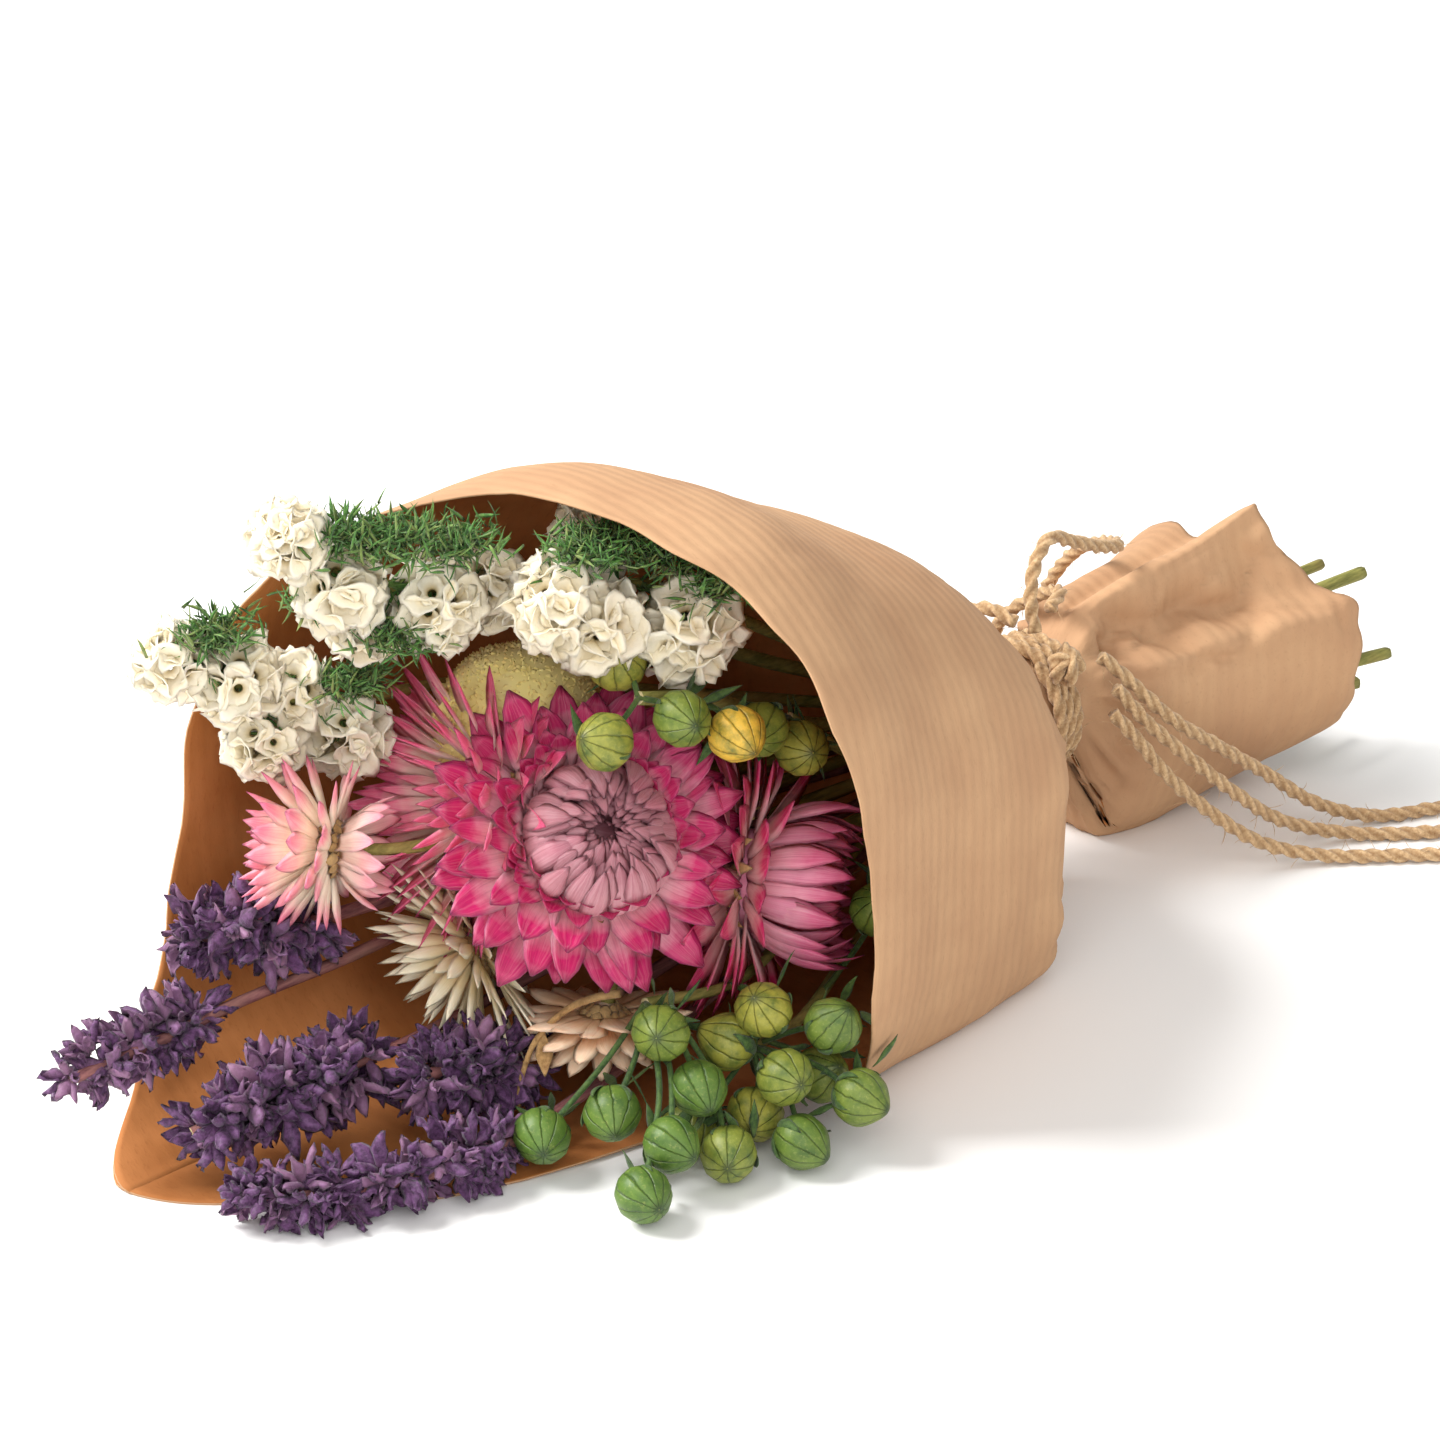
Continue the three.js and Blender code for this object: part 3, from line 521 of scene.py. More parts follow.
twine = {
    "diameter": 2.2,
    "plyTurn": 8.4,  # mm along the twine for one ply to go round
    "tie": np.array([96, 10, 26]),
    "turns": 3,
    "turnRadius": 9.4,
    "turnStep": 2.8,
    "knot": np.array([94, 0.5, 35.6]),
    "knotRadius": 2.9,
    "knotLoops": [(0.25, 1.0), (-0.5, 0.9), (1.15, 0.92)],  # how far each leans, in radians, and its size
    "hairs": 5.5,  # for each 10 mm
    "hair": {"length": 2.0, "width": 0.1, "curl": 40, "cup": 5, "twist": 60, "point": 1, "waist": 1, "rows": 5,
             "columns": 3, "scatter": 10},
    "brush": {"length": 6, "width": 0.22, "curl": 25, "cup": 5, "twist": 40, "point": 1, "waist": 1, "rows": 5,
              "columns": 3, "scatter": 9},
    "brushFibres": 26,
}
freeTwine = {  # each route starts at the knot; its length is the real one, in metres
    "twine_near_loop": {
        "length": 0.199, "farEnd": "object",
        "route": [
            (100.3, -0.8, 35.6), (102.8, -3.3, 32.4), (108, -8, 25.6), (117, -10.2, 18.6), (127, -11.8, 11.2),
            (135, -15, 4.8), (143, -19.8, 1.5), (155, -26, 1.2), (165, -33, 1.2), (169, -41, 1.2), (163, -47, 1.2),
            (152, -43, 1.2), (142, -36, 1.2), (134, -29, 1.2), (127, -23, 1.6), (119, -17.4, 4.6), (111, -12.6, 11.6),
            (105, -10, 18.2), (100.4, -7.6, 25), (97.8, -5.6, 28.8),
        ],
    },
    "twine_near_tail": {
        "length": 0.077, "farEnd": "bare",
        "route": [
            (99.9, -4.3, 31.8), (103.4, -7.4, 26.2), (109, -10.6, 20), (117, -13.6, 12.2), (126, -15.8, 5.2),
            (136, -21.2, 1.5), (148, -31, 1.2), (158, -36, 1.2),
        ],
    },
    "twine_far_loop": {
        "length": 0.15, "farEnd": "object",
        "route": [
            (91.4, 4.2, 40.6), (91.6, 5.4, 45), (93.8, 6.6, 50), (97.8, 7.4, 52.4), (103.2, 8, 50.2),
            (109.6, 8.2, 47.4), (115.4, 9.4, 45.4), (119.4, 14.4, 43.4), (121.6, 22, 39.4), (123, 29, 31),
            (123.4, 33, 19), (121, 35.6, 8), (115.6, 37, 1.8), (108.6, 35.2, 1.8), (104.4, 31.4, 8.4),
            (102.8, 27.4, 17.6), (102.4, 24.4, 26.4), (102.6, 19.4, 35.4), (103, 11.6, 41.2), (100.6, 7.6, 42.8),
            (96.6, 6, 42.2),
        ],
    },
    "twine_far_tail": {
        "length": 0.085, "farEnd": "bare",
        "route": [
            (88.8, 5.8, 42.4), (88, 9.6, 43.6), (87, 15, 42), (86.4, 22, 38), (87, 28.4, 29), (88.2, 33, 18),
            (89.4, 37.4, 7.5), (88, 43.5, 1.8), (82.5, 50, 1.2), (75, 54.5, 1.2), (67, 57, 1.2),
        ],
    },
}


def spinTwine(heap, route, dice):  # three plies twisted together, with an uneven thickness
    radius = twine["diameter"] / 2
    step = routeLength(route) / (len(route) - 1)
    run = np.arange(len(route)) * step
    sides = 18
    turn = np.linspace(0, 2 * np.pi, sides, endpoint=False)[None]
    angle = (turn - 2 * np.pi * run[:, None] / twine["plyTurn"]) % (2 * np.pi / 3) - np.pi / 3
    centre, ply = 0.536 * radius, 0.464 * radius
    lobe = centre * np.cos(angle) + np.sqrt(np.maximum(ply**2 - (centre * np.sin(angle)) ** 2, 0))
    uneven = 1 + 0.05 * np.sin(run * 1.3 + dice.uniform(0, 6))[:, None] + 0.03 * np.sin(run * 3.7)[:, None]
    reach = np.maximum(lobe, 0.66 * radius) * uneven
    # painted shade: the deeper the surface sits in the hollow between plies, the darker it is painted
    shade = (1 - (reach / radius - 0.66) / 0.34).clip(0, 1)
    heap.tube(route, 1, sides, reach)
    heap.tints[-1] = shade.ravel()
    keepAbove(heap.points[-1], 0.02)  # it flattens where it lies on the table


def addHairs(heap, route, dice, perTen):  # loose fibres, 1.2 to 3.2 mm long, that stand off the twine
    count = max(4, int(routeLength(route) / 10 * perTen))
    at = dice.integers(1, len(route) - 2, count)
    tangent, side, up = framesAlong(route)
    away = roundAbout(side[at], up[at], dice.uniform(0, 2 * np.pi, count))
    lean = unit(away * dice.uniform(0.3, 1, (count, 1)) + tangent[at] * dice.choice([-1, 1], (count, 1)))
    hair = petalGrid(count, dice, **twine["hair"]) * dice.uniform(0.6, 1.6, (count, 1, 1, 1))
    placed = keepAbove(setPetals(hair, route[at] + away * 0.8, lean, away), 0.15)
    heap.sheets(placed, 0.08, tint=dice.uniform(0, 0.5, count))


def makeTwine():
    dice = np.random.default_rng(11)
    hairs = Heap()
    for name, part in freeTwine.items():
        route = smoothCurve(part["route"])
        line = evenSteps(route, 0.42)
        heap = Heap()
        spinTwine(heap, line, dice)
        if part["farEnd"] == "bare":  # a cut end that has opened into a brush
            fibres = twine["brushFibres"]
            brush = petalGrid(fibres, dice, **twine["brush"])
            out = unit(line[-1] - line[-4])[None] + dice.normal(0, 0.22, (fibres, 3))
            tuft = setPetals(brush, line[-1] - out * 2, out, np.array([0.1, 0.2, 1]))
            hairs.sheets(keepAbove(tuft, 0.15), 0.1, tint=0.2)
        piece = makePiece(name.replace("twine", "jute"), heap, [jute], [name])
        addHairs(hairs, line, dice, twine["hairs"])

    t = np.linspace(0, 1, 460)
    angle = 2 * np.pi * (twine["turns"] * t + 0.33)
    wander = 0.25 * np.sin(angle * 0.7)
    x = (t - 0.5) * (twine["turns"] - 1) * twine["turnStep"] + wander
    coil = twine["tie"] + np.stack([x, twine["turnRadius"] * np.cos(angle), twine["turnRadius"] * np.sin(angle)], 1)
    heap = Heap()
    spinTwine(heap, coil, dice)
    makePiece("jute_turns", heap, [jute], ["twine_turns"])
    addHairs(hairs, coil, dice, twine["hairs"] * 1.6)

    heap = Heap()  # the knot: one strand wrapped over two
    tilt = math.radians(135)  # it sits on the near upper side of the turns
    away = unit([0, math.cos(tilt), math.sin(tilt)])
    side = np.cross(away, [1, 0, 0])
    for k, (lean, size) in enumerate(twine["knotLoops"]):
        turn = np.linspace(0, 2 * np.pi, 60)
        along = np.array([math.cos(lean), 0, 0]) + side * math.sin(lean)
        ring = np.cos(turn)[:, None] * along * 1.15 + np.sin(turn)[:, None] * (away * 0.62 + side * 0.3)
        loop = twine["knot"] + ring * twine["knotRadius"] * size * 0.72
        spinTwine(heap, loop + away * 0.3 * k, dice)
        addHairs(hairs, loop, dice, 9)
    makePiece("jute_knot", heap, [jute], ["twine_knot"])
    makePiece("jute_fibres", hairs, [jute])


makeTwine()
print("twine laid")


# paper: one sheet of kraft rolled into a cone, drawn in at the tie and flared behind it

paper = {
    "thick": 0.3,
    "mouthRadius": 44,
    "coneLength": 96,
    "tailLength": 52,
    "tailPeak": 10.5,
    "tailRadius": 22,
    "tieHeight": 26,
    "tieSide": 10,
    "tieRadius": 7.0,
    "tieHalf": 5.2,
    "layer": 0.95,  # mm that the roll grows by in one turn
    "mesh": (176, 208),  # rows along it and columns round it
    "flatSize": (0.25, 0.2),  # metres, before the slanting mouth and the rounded corners were cut from it
    # share of the cone: half width, top, bottom, rise of the centre, squareness of the near lower corner
    "cone": [
        (-0.7, 0.97, 0.96, 1.08, 0.94, 0.3), (0, 0.97, 0.96, 1.08, 0.94, 0.3), (0.21, 0.915, 0.95, 1.01, 0.83, 1.2),
        (0.417, 0.77, 0.79, 0.89, 0.61, 2.4), (0.625, 0.675, 0.66, 0.72, 0.33, 3.4), (0.73, 0.63, 0.52, 0.6, 0.11, 3.6),
        (0.79, 0.48, 0.36, 0.5, 0.05, 3), (0.875, 0.16, 0.16, 0.18, 0, 0.6), (0.943, 0, 0, 0, 0, 0), (1, 0, 0, 0, 0, 0),
    ],
    # share of the tail: half width, top, bottom, drop and sideways shift in mm
    "tail": [
        (0, 0, 0, 0, 0, 0), (0.1, 0, 0, 0, 0, 0), (0.18, 0.22, 0.46, 0.58, 1.5, 0.6), (0.3, 0.36, 0.68, 1, 4, 1),
        (0.48, 0.47, 0.76, 0.98, 5, 1), (0.65, 0.6, 0.7, 0.93, 4.5, 1), (0.85, 0.8, 0.71, 0.84, 4, 1),
        (1, 0.95, 0.72, 0.7, 4, 1),
    ],
    "seam": (-66, 328),  # degrees round the roll where the sheet starts and ends
    # degrees round the roll: reach of the edge from the tie, as a share of the cone or the tail
    "mouthEdge": [
        (-66, 1.617), (-42, 1.47), (-10, 1.313), (30, 1.225), (60, 1.108), (85, 1), (120, 0.917), (170, 0.843),
        (208, 0.775), (232, 0.696), (240, 0.648), (244, 0.853), (251, 1.147), (270, 1.44), (294, 1.617), (328, 1.392),
    ],
    "tailEdge": [
        (-66, 0.92), (0, 0.9), (60, 0.86), (108, 0.85), (140, 0.99), (175, 1.04), (215, 1.02), (250, 0.96), (328, 0.9),
    ],
}


def readRows(rows, keys):  # eased between rows, with no overshoot
    rows, keys = np.asarray(rows, float), np.asarray(keys, float)
    x, values = rows[:, 0], rows[:, 1:]
    i = np.clip(np.searchsorted(x, keys, side="right") - 1, 0, len(x) - 2)
    span = (x[i + 1] - x[i])[..., None]
    t = np.clip((keys - x[i])[..., None] / span, 0, 1)
    slope = np.zeros_like(values)
    before, after = values[1:-1] - values[:-2], values[2:] - values[1:-1]
    slope[1:-1] = np.where(before * after > 0, (values[2:] - values[:-2]) / (x[2:] - x[:-2])[:, None], 0)
    eased = ease(t)
    bend = t * (1 - t) ** 2 * slope[i] + t * t * (t - 1) * slope[i + 1]
    return values[i] + (values[i + 1] - values[i]) * eased + span * bend


def paperPoints(x, degrees):
    tieX = paper["coneLength"]
    before = x <= tieX
    share = np.where(before, x / tieX, (x - tieX) / paper["tailLength"])
    cone, tail = readRows(paper["cone"], share), readRows(paper["tail"], share)
    pick = lambda a, b: np.where(before, a, b)
    grow = pick(paper["mouthRadius"], paper["tailRadius"]) - paper["tieRadius"]
    wide, top, bottom = (paper["tieRadius"] + grow * pick(cone[..., k], tail[..., k]) for k in range(3))
    side = pick(paper["tieSide"] - 2 * np.clip(1 - share, 0, 1), paper["tieSide"] + tail[..., 4])
    height = paper["tieHeight"] + pick((paper["mouthRadius"] - paper["tieHeight"]) * cone[..., 3], -tail[..., 3])
    square = 0.3 * pick(cone[..., 0], tail[..., 0])
    turn = np.radians(degrees)
    c, s = np.cos(turn), np.sin(turn)
    near = (c < 0) & (s < 0)
    power = 2 / (2 + np.where(near, pick(cone[..., 4], square), square))
    spiral = paper["layer"] * (degrees - paper["seam"][0]) / 360
    corner = pick(0, paper["tailPeak"] * share**2) * np.maximum(0, 1 - np.abs(degrees - 108) / 26)
    tall = np.where(s > 0, top + corner, bottom)
    y = side + (wide + spiral) * np.sign(c) * np.abs(c) ** power
    z = height + (tall + spiral) * np.sign(s) * np.abs(s) ** power
    return np.stack([x, y, np.maximum(z, 0)], -1)


def creased(x, degrees, points):  # how far the sheet stands in or out of its smooth roll, in mm
    tieX = paper["coneLength"]
    ahead, behind = tieX - x, x - tieX
    clear = ease((np.abs(x - tieX) - paper["tieHalf"] - 0.5) / 6)
    flat = points.reshape(-1, 3)
    soft = np.array([noise.noise(Vector(p) / 21) for p in flat]).reshape(x.shape)
    near = [noise.voronoi(Vector(p), distance_metric="DISTANCE")[0][:2] for p in flat / [13, 8.5, 8.5]]
    cells = np.array(near).reshape(*x.shape, 2)
    ridge = np.minimum((cells[..., 1] - cells[..., 0]) * 1.6, 1)
    # gathers that run out of the tie, both ways
    wander = np.radians(degrees + 9 * np.sin(x * 0.11 + degrees * 0.03))
    pleats = np.abs(np.sin(wander * 5.5)) ** 0.8 + 0.5 * np.abs(np.sin(wander * 9.5 + 1.2))
    drawn = 2.0 * ease((30 - ahead) / 20) * (ahead > 0) + 2.2 * ease((34 - behind) / 24) * (behind > 0)
    crushed = np.maximum(ease((36 - ahead) / 30) * (ahead > 0), (behind > 0) * 0.9)
    gather = (0.75 - pleats) * drawn
    crumple = -1.7 * (1 - ridge) ** 2 * (0.12 + 0.88 * crushed)
    # behind the tie: one long ridge down the near top, with a deep hollow between it and the peak
    share = np.clip(behind / paper["tailLength"], 0, 1)
    window = ease(share / 0.22)
    ridgeLine = 1.6 * np.exp(-(((degrees - 158 + 6 * share) / 9) ** 2)) * window
    hollow = -5.4 * np.exp(-(((degrees - 133 + 4 * np.sin(behind * 0.5)) / 11) ** 2)) * window * (1.1 - 0.75 * share)
    hollow -= 3.2 * np.exp(-(((degrees - 84) / 10) ** 2)) * window * (1 - 0.5 * share)
    beside = np.maximum(ease((degrees - 158) / 10), ease((118 - degrees) / 12))  # smoother on both sides of the hollow
    calm = np.where(behind > 0, 1 - 0.85 * beside * ease((behind - 8) / 8), 1)
    return clear * (calm * (gather + crumple) + np.where(behind > 0, ridgeLine + hollow, 0) + 0.8 * soft)


def makePaper():
    rows, columns = paper["mesh"]
    degrees = np.linspace(*paper["seam"], columns)[None, :]
    wave = 0.012 * np.sin(np.radians(degrees) * 7 + 1) + 0.007 * np.sin(np.radians(degrees) * 17)
    front = paper["coneLength"] * (1 - readRows(paper["mouthEdge"], degrees)[..., 0] - wave * 0.6)
    back = paper["coneLength"] + paper["tailLength"] * (readRows(paper["tailEdge"], degrees)[..., 0] + wave)
    share = np.linspace(0, 1, rows)[:, None]
    x = front + (back - front) * share
    degrees = np.broadcast_to(degrees, x.shape)
    points = paperPoints(x, degrees)
    outward = np.stack([np.zeros_like(x), points[..., 1] - paper["tieSide"], points[..., 2] - paper["tieHeight"]], -1)

    def normals(p):
        normal = unit(np.cross(np.gradient(p, axis=0), np.gradient(p, axis=1)))
        return normal * np.sign((normal * outward).sum(-1, keepdims=True))

    points = keepAbove(points + normals(points) * creased(x, degrees, points)[..., None], 0.02)
    inner = keepAbove(points - normals(points) * paper["thick"], paper["thick"])
    girth = np.r_[0, np.cumsum(np.linalg.norm(np.diff(points[rows // 3], axis=0), axis=1))]
    uv = np.stack([np.broadcast_to(girth[None, :] / 100, x.shape), x / 100], -1).reshape(-1, 2)
    heap = Heap()
    index = np.arange(rows * columns).reshape(rows, columns)
    a, b, c, d = index[:-1, :-1], index[:-1, 1:], index[1:, 1:], index[1:, :-1]
    outerFaces = np.stack([a, b, c, d], -1).reshape(-1, 4)
    n = rows * columns
    innerFaces = outerFaces[:, ::-1] + n
    edge = np.r_[index[0, :], index[1:, -1], index[-1, -2::-1], index[-2:0:-1, 0]]
    after = np.roll(edge, -1)
    rim = np.stack([after, edge, edge + n, after + n], 1)
    faces = np.vstack([outerFaces, innerFaces, rim])
    heap.add(np.vstack([points.reshape(-1, 3), inner.reshape(-1, 3)]), faces, np.vstack([uv, uv])[faces], 0.5, 0.5, 0)
    # the inner faces take the kraft with the painted shade of the cone's inside
    heap.finishes[-1] = np.r_[np.zeros(len(outerFaces)), np.ones(len(innerFaces)), np.zeros(len(rim))]
    piece = makePiece("kraft_sheet", heap, [kraftOutside, kraftInsideShaded], ["kraft_wrap"])
    quad = points[:-1, :-1], points[1:, :-1], points[1:, 1:], points[:-1, 1:]
    area = 0.5 * np.linalg.norm(np.cross(quad[2] - quad[0], quad[3] - quad[1]), axis=-1).sum() * metre**2
    print("paper area", round(float(area), 4), "m2")


makePaper()
print("paper rolled")


# stems: each through its own place in the bundle at the tie

stems = {
    "diameter": 2.0,
    "pitch": 2.35,
    "pastPaper": 20,
    # how far each stem reaches past the paper, as a share of pastPaper
    "pastShare": [-0.1, 0.1, -0.2, -0.1, 0.4, 0.2, -0.3, -0.2, 0.1, 0.1, 0.9, 1, 0.6, 0.95, 0.8, 0.75, 0.5, -0.1, 0],
}


def stemRoute(route, slot):
    past = stems["pastShare"][slot] * stems["pastPaper"]
    tieX, tieHalf, endX = paper["coneLength"], paper["tieHalf"], paper["coneLength"] + paper["tailLength"]
    dy = dz = 0.0
    if slot:
        ring = 1 if slot <= 6 else 2
        corner, along = divmod(slot - (1 if ring == 1 else 7), ring)
        a, b, along = math.radians(60 * corner), math.radians(60 * (corner + 1)), along / ring
        dy = ring * stems["pitch"] * (math.cos(a) * (1 - along) + math.cos(b) * along)
        dz = ring * stems["pitch"] * (math.sin(a) * (1 - along) + math.sin(b) * along)
    at = lambda x, wide, down=0: (x, paper["tieSide"] + dy * wide, paper["tieHeight"] - down + dz * wide)
    return smoothCurve([
        *route, at(tieX - tieHalf - 9, 1.35), at(tieX - tieHalf, 1), at(tieX + tieHalf, 1),
        at(tieX + tieHalf + 9, 1.3, 1), at(endX - 16, 2.1, 6.5),
        at(endX + past, 2.1 + 0.02 * (past + 16), 6.5 + 0.11 * (past + 16)),
    ])


def growStem(heap, route, slot, dice, finish=0, cut=1):
    line = evenSteps(stemRoute(route, slot), 1.6)
    thick = stems["diameter"] / 2 * (0.86 + 0.24 * ((slot * 7) % 5) / 4)
    run = np.linspace(0, 1, len(line))
    ribs = 1 + 0.06 * np.cos(5 * np.linspace(0, 2 * np.pi, 10, endpoint=False))[None]
    radius = thick * (0.85 + 0.2 * run) * (1 + 0.04 * np.sin(run * 40 + slot))
    heap.tube(line, radius, 10, ribs, tint=dice.uniform(), finish=finish, capFinish=cut)
    return line


def growStalk(flower, at, face, behind, slot, dice):  # the bare stem under a single head
    stalk = Heap()
    growStem(stalk, [at - face * (behind - 3), at - face * (behind + 4) + np.array([3, 0, 0])], slot, dice)
    makePiece(flower + "_stalk", stalk, [oliveStem, pith], [flower + "_stem"])


# strawflowers: rings of papery bracts round a domed centre
# ring: count, foot from the axis, foot height, length, width, rise at the foot, curl to the tip, cup, point, age

strawflowers = {
    "magenta": {
        "at": (0, 2, 41), "face": (-0.37, -0.7, 0.61), "back": 7, "slot": 1, "finish": "magenta",
        "core": (9.4, 3.4), "seed": 3,
        "lean": (0.9, -0.9, -1.2),
        "rings": [
            (20, 7.0, -3.2, 15.2, 6.0, 0, 8, 26, 0.5, 1.0), (20, 6.8, -2.4, 14.2, 5.8, 10, 10, 30, 0.5, 1.0),
            (20, 6.8, -1.6, 12.2, 5.6, 22, 10, 34, 0.5, 1.0), (20, 7.0, -0.8, 9.2, 5.2, 38, 8, 40, 0.5, 0.95),
            (20, 8.0, 0.0, 7.4, 4.6, 54, 6, 44, 0.55, 0.85), (22, 8.8, 0.6, 6.2, 4.0, 68, 4, 48, 0.6, 0.6),
            (32, 10.0, 0.2, 12.0, 3.9, 74, 104, 34, 0.75, 0.08), (30, 8.8, 1.4, 10.6, 3.6, 74, 108, 34, 0.75, 0.06),
            (26, 7.2, 2.6, 9.0, 3.3, 74, 110, 36, 0.8, 0.04), (20, 5.4, 3.6, 7.2, 2.9, 76, 108, 38, 0.8, 0.02),
            (14, 3.6, 4.2, 5.0, 2.3, 78, 92, 40, 0.85, 0.0), (8, 1.8, 4.0, 3.0, 1.6, 80, 50, 44, 0.9, 0.0),
        ],
    },
    "rose": {
        "at": (26, -4, 27), "face": (0.6, -0.8, -0.05), "back": 9, "slot": 4, "finish": "rose",
        "core": (8.0, 3.6), "seed": 5,
        "rings": [
            (22, 6.6, -2.6, 14.4, 5.6, -14, -6, 30, 0.6, 1.0), (22, 6.6, -1.8, 13.6, 5.4, 2, -6, 34, 0.6, 1.0),
            (20, 6.8, -1.0, 12.0, 5.0, 22, -4, 38, 0.55, 1.0), (32, 7.6, 0.0, 13.5, 3.9, 50, 54, 34, 0.8, 0.2),
            (32, 7.4, 0.6, 12.8, 3.7, 60, 74, 36, 0.8, 0.14), (28, 6.6, 1.6, 11.0, 3.4, 68, 84, 38, 0.8, 0.08),
            (22, 5.2, 2.6, 9.0, 3.0, 74, 84, 40, 0.85, 0.04), (14, 3.2, 3.4, 6.4, 2.4, 78, 70, 44, 0.9, 0.0),
        ],
    },
    "pink": {
        "at": (-3, 20, 41), "face": (-0.86, 0.3, 0.22), "back": 9, "slot": 2, "finish": "pink",
        "core": (6.4, 3.4), "seed": 8,
        "rings": [
            (28, 5.6, -2.8, 16.0, 4.4, -2, 8, 36, 0.8, 1.0), (28, 5.6, -2.0, 16.5, 4.2, 14, 6, 38, 0.85, 1.0),
            (26, 5.4, -1.2, 16.5, 4.0, 30, 4, 40, 0.85, 1.0), (24, 5.0, -0.4, 15.5, 3.6, 44, 6, 42, 0.9, 0.9),
            (20, 4.4, 0.6, 13.5, 3.0, 58, 8, 44, 0.9, 0.7), (14, 2.8, 1.6, 10.5, 2.5, 72, 12, 46, 0.9, 0.4),
        ],
    },
    "small": {
        "at": (-25, 28, 39), "face": (-0.6, 0.8, 0.05), "back": 7, "slot": 11, "finish": "blush",
        "core": (3.6, 2.4), "seed": 13,
        "rings": [
            (14, 3.2, -4.2, 7.2, 3.6, -56, -14, 38, 0.75, 0.1), (18, 3.4, -3.0, 8.2, 3.8, -8, 8, 38, 0.75, 0.5),
            (18, 3.4, -2.0, 9.6, 3.9, 22, 12, 40, 0.75, 0.9), (18, 3.2, -1.2, 10.4, 3.8, 42, 10, 42, 0.8, 1.0),
            (16, 2.6, -0.4, 9.8, 3.4, 58, 10, 44, 0.85, 1.0), (10, 1.6, 0.4, 8.4, 2.8, 74, 10, 46, 0.9, 0.8),
        ],
    },
    "cream": {
        "at": (-7, 19, 20), "face": (-0.75, 0.5, -0.4), "back": 6, "slot": 6, "finish": "cream",
        "core": (4.4, 2.6), "seed": 21,
        "rings": [
            (32, 4.0, -2.6, 12.5, 2.8, -12, 8, 34, 0.85, 1.0), (32, 4.0, -1.8, 13.0, 2.7, 6, 6, 36, 0.85, 1.0),
            (30, 3.8, -1.0, 12.5, 2.6, 24, 6, 38, 0.85, 1.0), (26, 3.4, -0.2, 11.5, 2.4, 42, 8, 40, 0.9, 0.9),
            (18, 2.2, 0.8, 9.5, 2.2, 62, 12, 42, 0.9, 0.7),
        ],
    },
    "peach": {
        "at": (1, 0, 13), "face": (-0.15, -0.1, -0.98), "back": 4, "slot": 14, "finish": "peach",
        "core": (3.4, 2.0), "seed": 34,
        "tendril": [
            (0.1, -4.2, 19.6), (-2.7, -1.8, 19), (-5.7, 0.3, 17.5), (-9.6, 1.9, 13.9), (-12.6, 1.7, 9.2),
            (-14.1, 0.8, 5.6),
        ],
        "rings": [
            (16, 3.2, -1.8, 8.6, 4.6, -6, 8, 34, 0.5, 1.0), (16, 3.2, -1.2, 8.6, 4.4, 14, 8, 38, 0.5, 1.0),
            (14, 3.0, -0.6, 7.6, 3.8, 36, 10, 42, 0.6, 1.0), (8, 2.0, 0.2, 5.4, 3.0, 60, 20, 46, 0.7, 0.7),
        ],
    },
}
billyButton = {  # it stands among the strawflowers, which leave room for it
    "at": (7, 22, 47), "face": (-0.7, 0.1, 0.4), "radius": 12.5, "slot": 10, "florets": 2300,
    "floret": {"length": 1.0, "width": 1.15, "curl": 30, "cup": 40, "twist": 30, "point": 0.35, "waist": 0.6, "rows": 4,
               "columns": 3, "scatter": 14},
}
cupScale = {"width": 2.3, "rise": 34, "curl": 30, "cup": 40, "point": 0.8, "rows": 6, "columns": 5}
# how many scales, and where they stand as shares of the core's radius and of the cup's depth
cupRings = (16, 0.92, 0.42), (14, 0.72, 0.62), (10, 0.45, 0.8)
tendrilLeaf = {"length": 6.5, "width": 2.6, "curl": 50, "cup": 50, "twist": 40, "point": 0.9, "waist": 0.3, "rows": 9,
               "columns": 5, "ruffle": 0.2}


def layBracts(heap, flower, dice):
    x, y, up = axesOf(flower["face"])
    at = np.array(flower["at"], float)
    ball, clear = np.array(billyButton["at"], float), billyButton["radius"] - 0.6
    for k, (count, foot, height, length, width, rise, curl, cup, point, age) in enumerate(flower["rings"]):
        turn = 2 * np.pi * (np.arange(count) + 0.38 * k) / count + dice.normal(0, 0.05, count)
        out = roundAbout(x, y, turn)
        waist, rows = 0.55 if age > 0.5 else 0.7, 10 if curl > 50 else 8
        grid = petalGrid(count, dice, length, width, rise, curl, cup, twist=7, point=point, waist=waist, widest=0.62,
                         rows=rows, columns=5, scatter=5.5, ruffle=0.06)
        middle = at + np.array(flower.get("lean", (0, 0, 0))) * (age < 0.5)
        origin = middle + out * foot + up * (height + dice.normal(0, 0.15, count))[:, None]
        petals = setPetals(grid, origin, out, up)
        reach = np.linalg.norm(petals[:, rows // 2 :] - ball, axis=-1).min((1, 2))
        petals = petals[reach > clear]  # the billy button crowds some out
        tint = dice.uniform(0, 1, len(petals))
        heap.sheets(petals, 0.16, tint=tint, age=np.clip(age + dice.normal(0, 0.05, len(petals)), 0, 1))


def domeRows(at, face, radius, height, depth, rows=9, columns=20):  # the disc under the bracts and the cup behind it
    x, y, up = axesOf(face)
    slope = np.linspace(-np.pi / 2 + 0.04, np.pi / 2 - 0.04, rows)[:, None]
    turn = np.linspace(0, 2 * np.pi, columns, endpoint=False)[None]
    lift = np.where(slope > 0, height, depth) * np.sin(slope)
    level = [axis * (wave(turn) * np.cos(slope) * radius)[..., None] for axis, wave in ((x, np.cos), (y, np.sin))]
    return at + (level[0] + level[1] + up * lift[..., None])


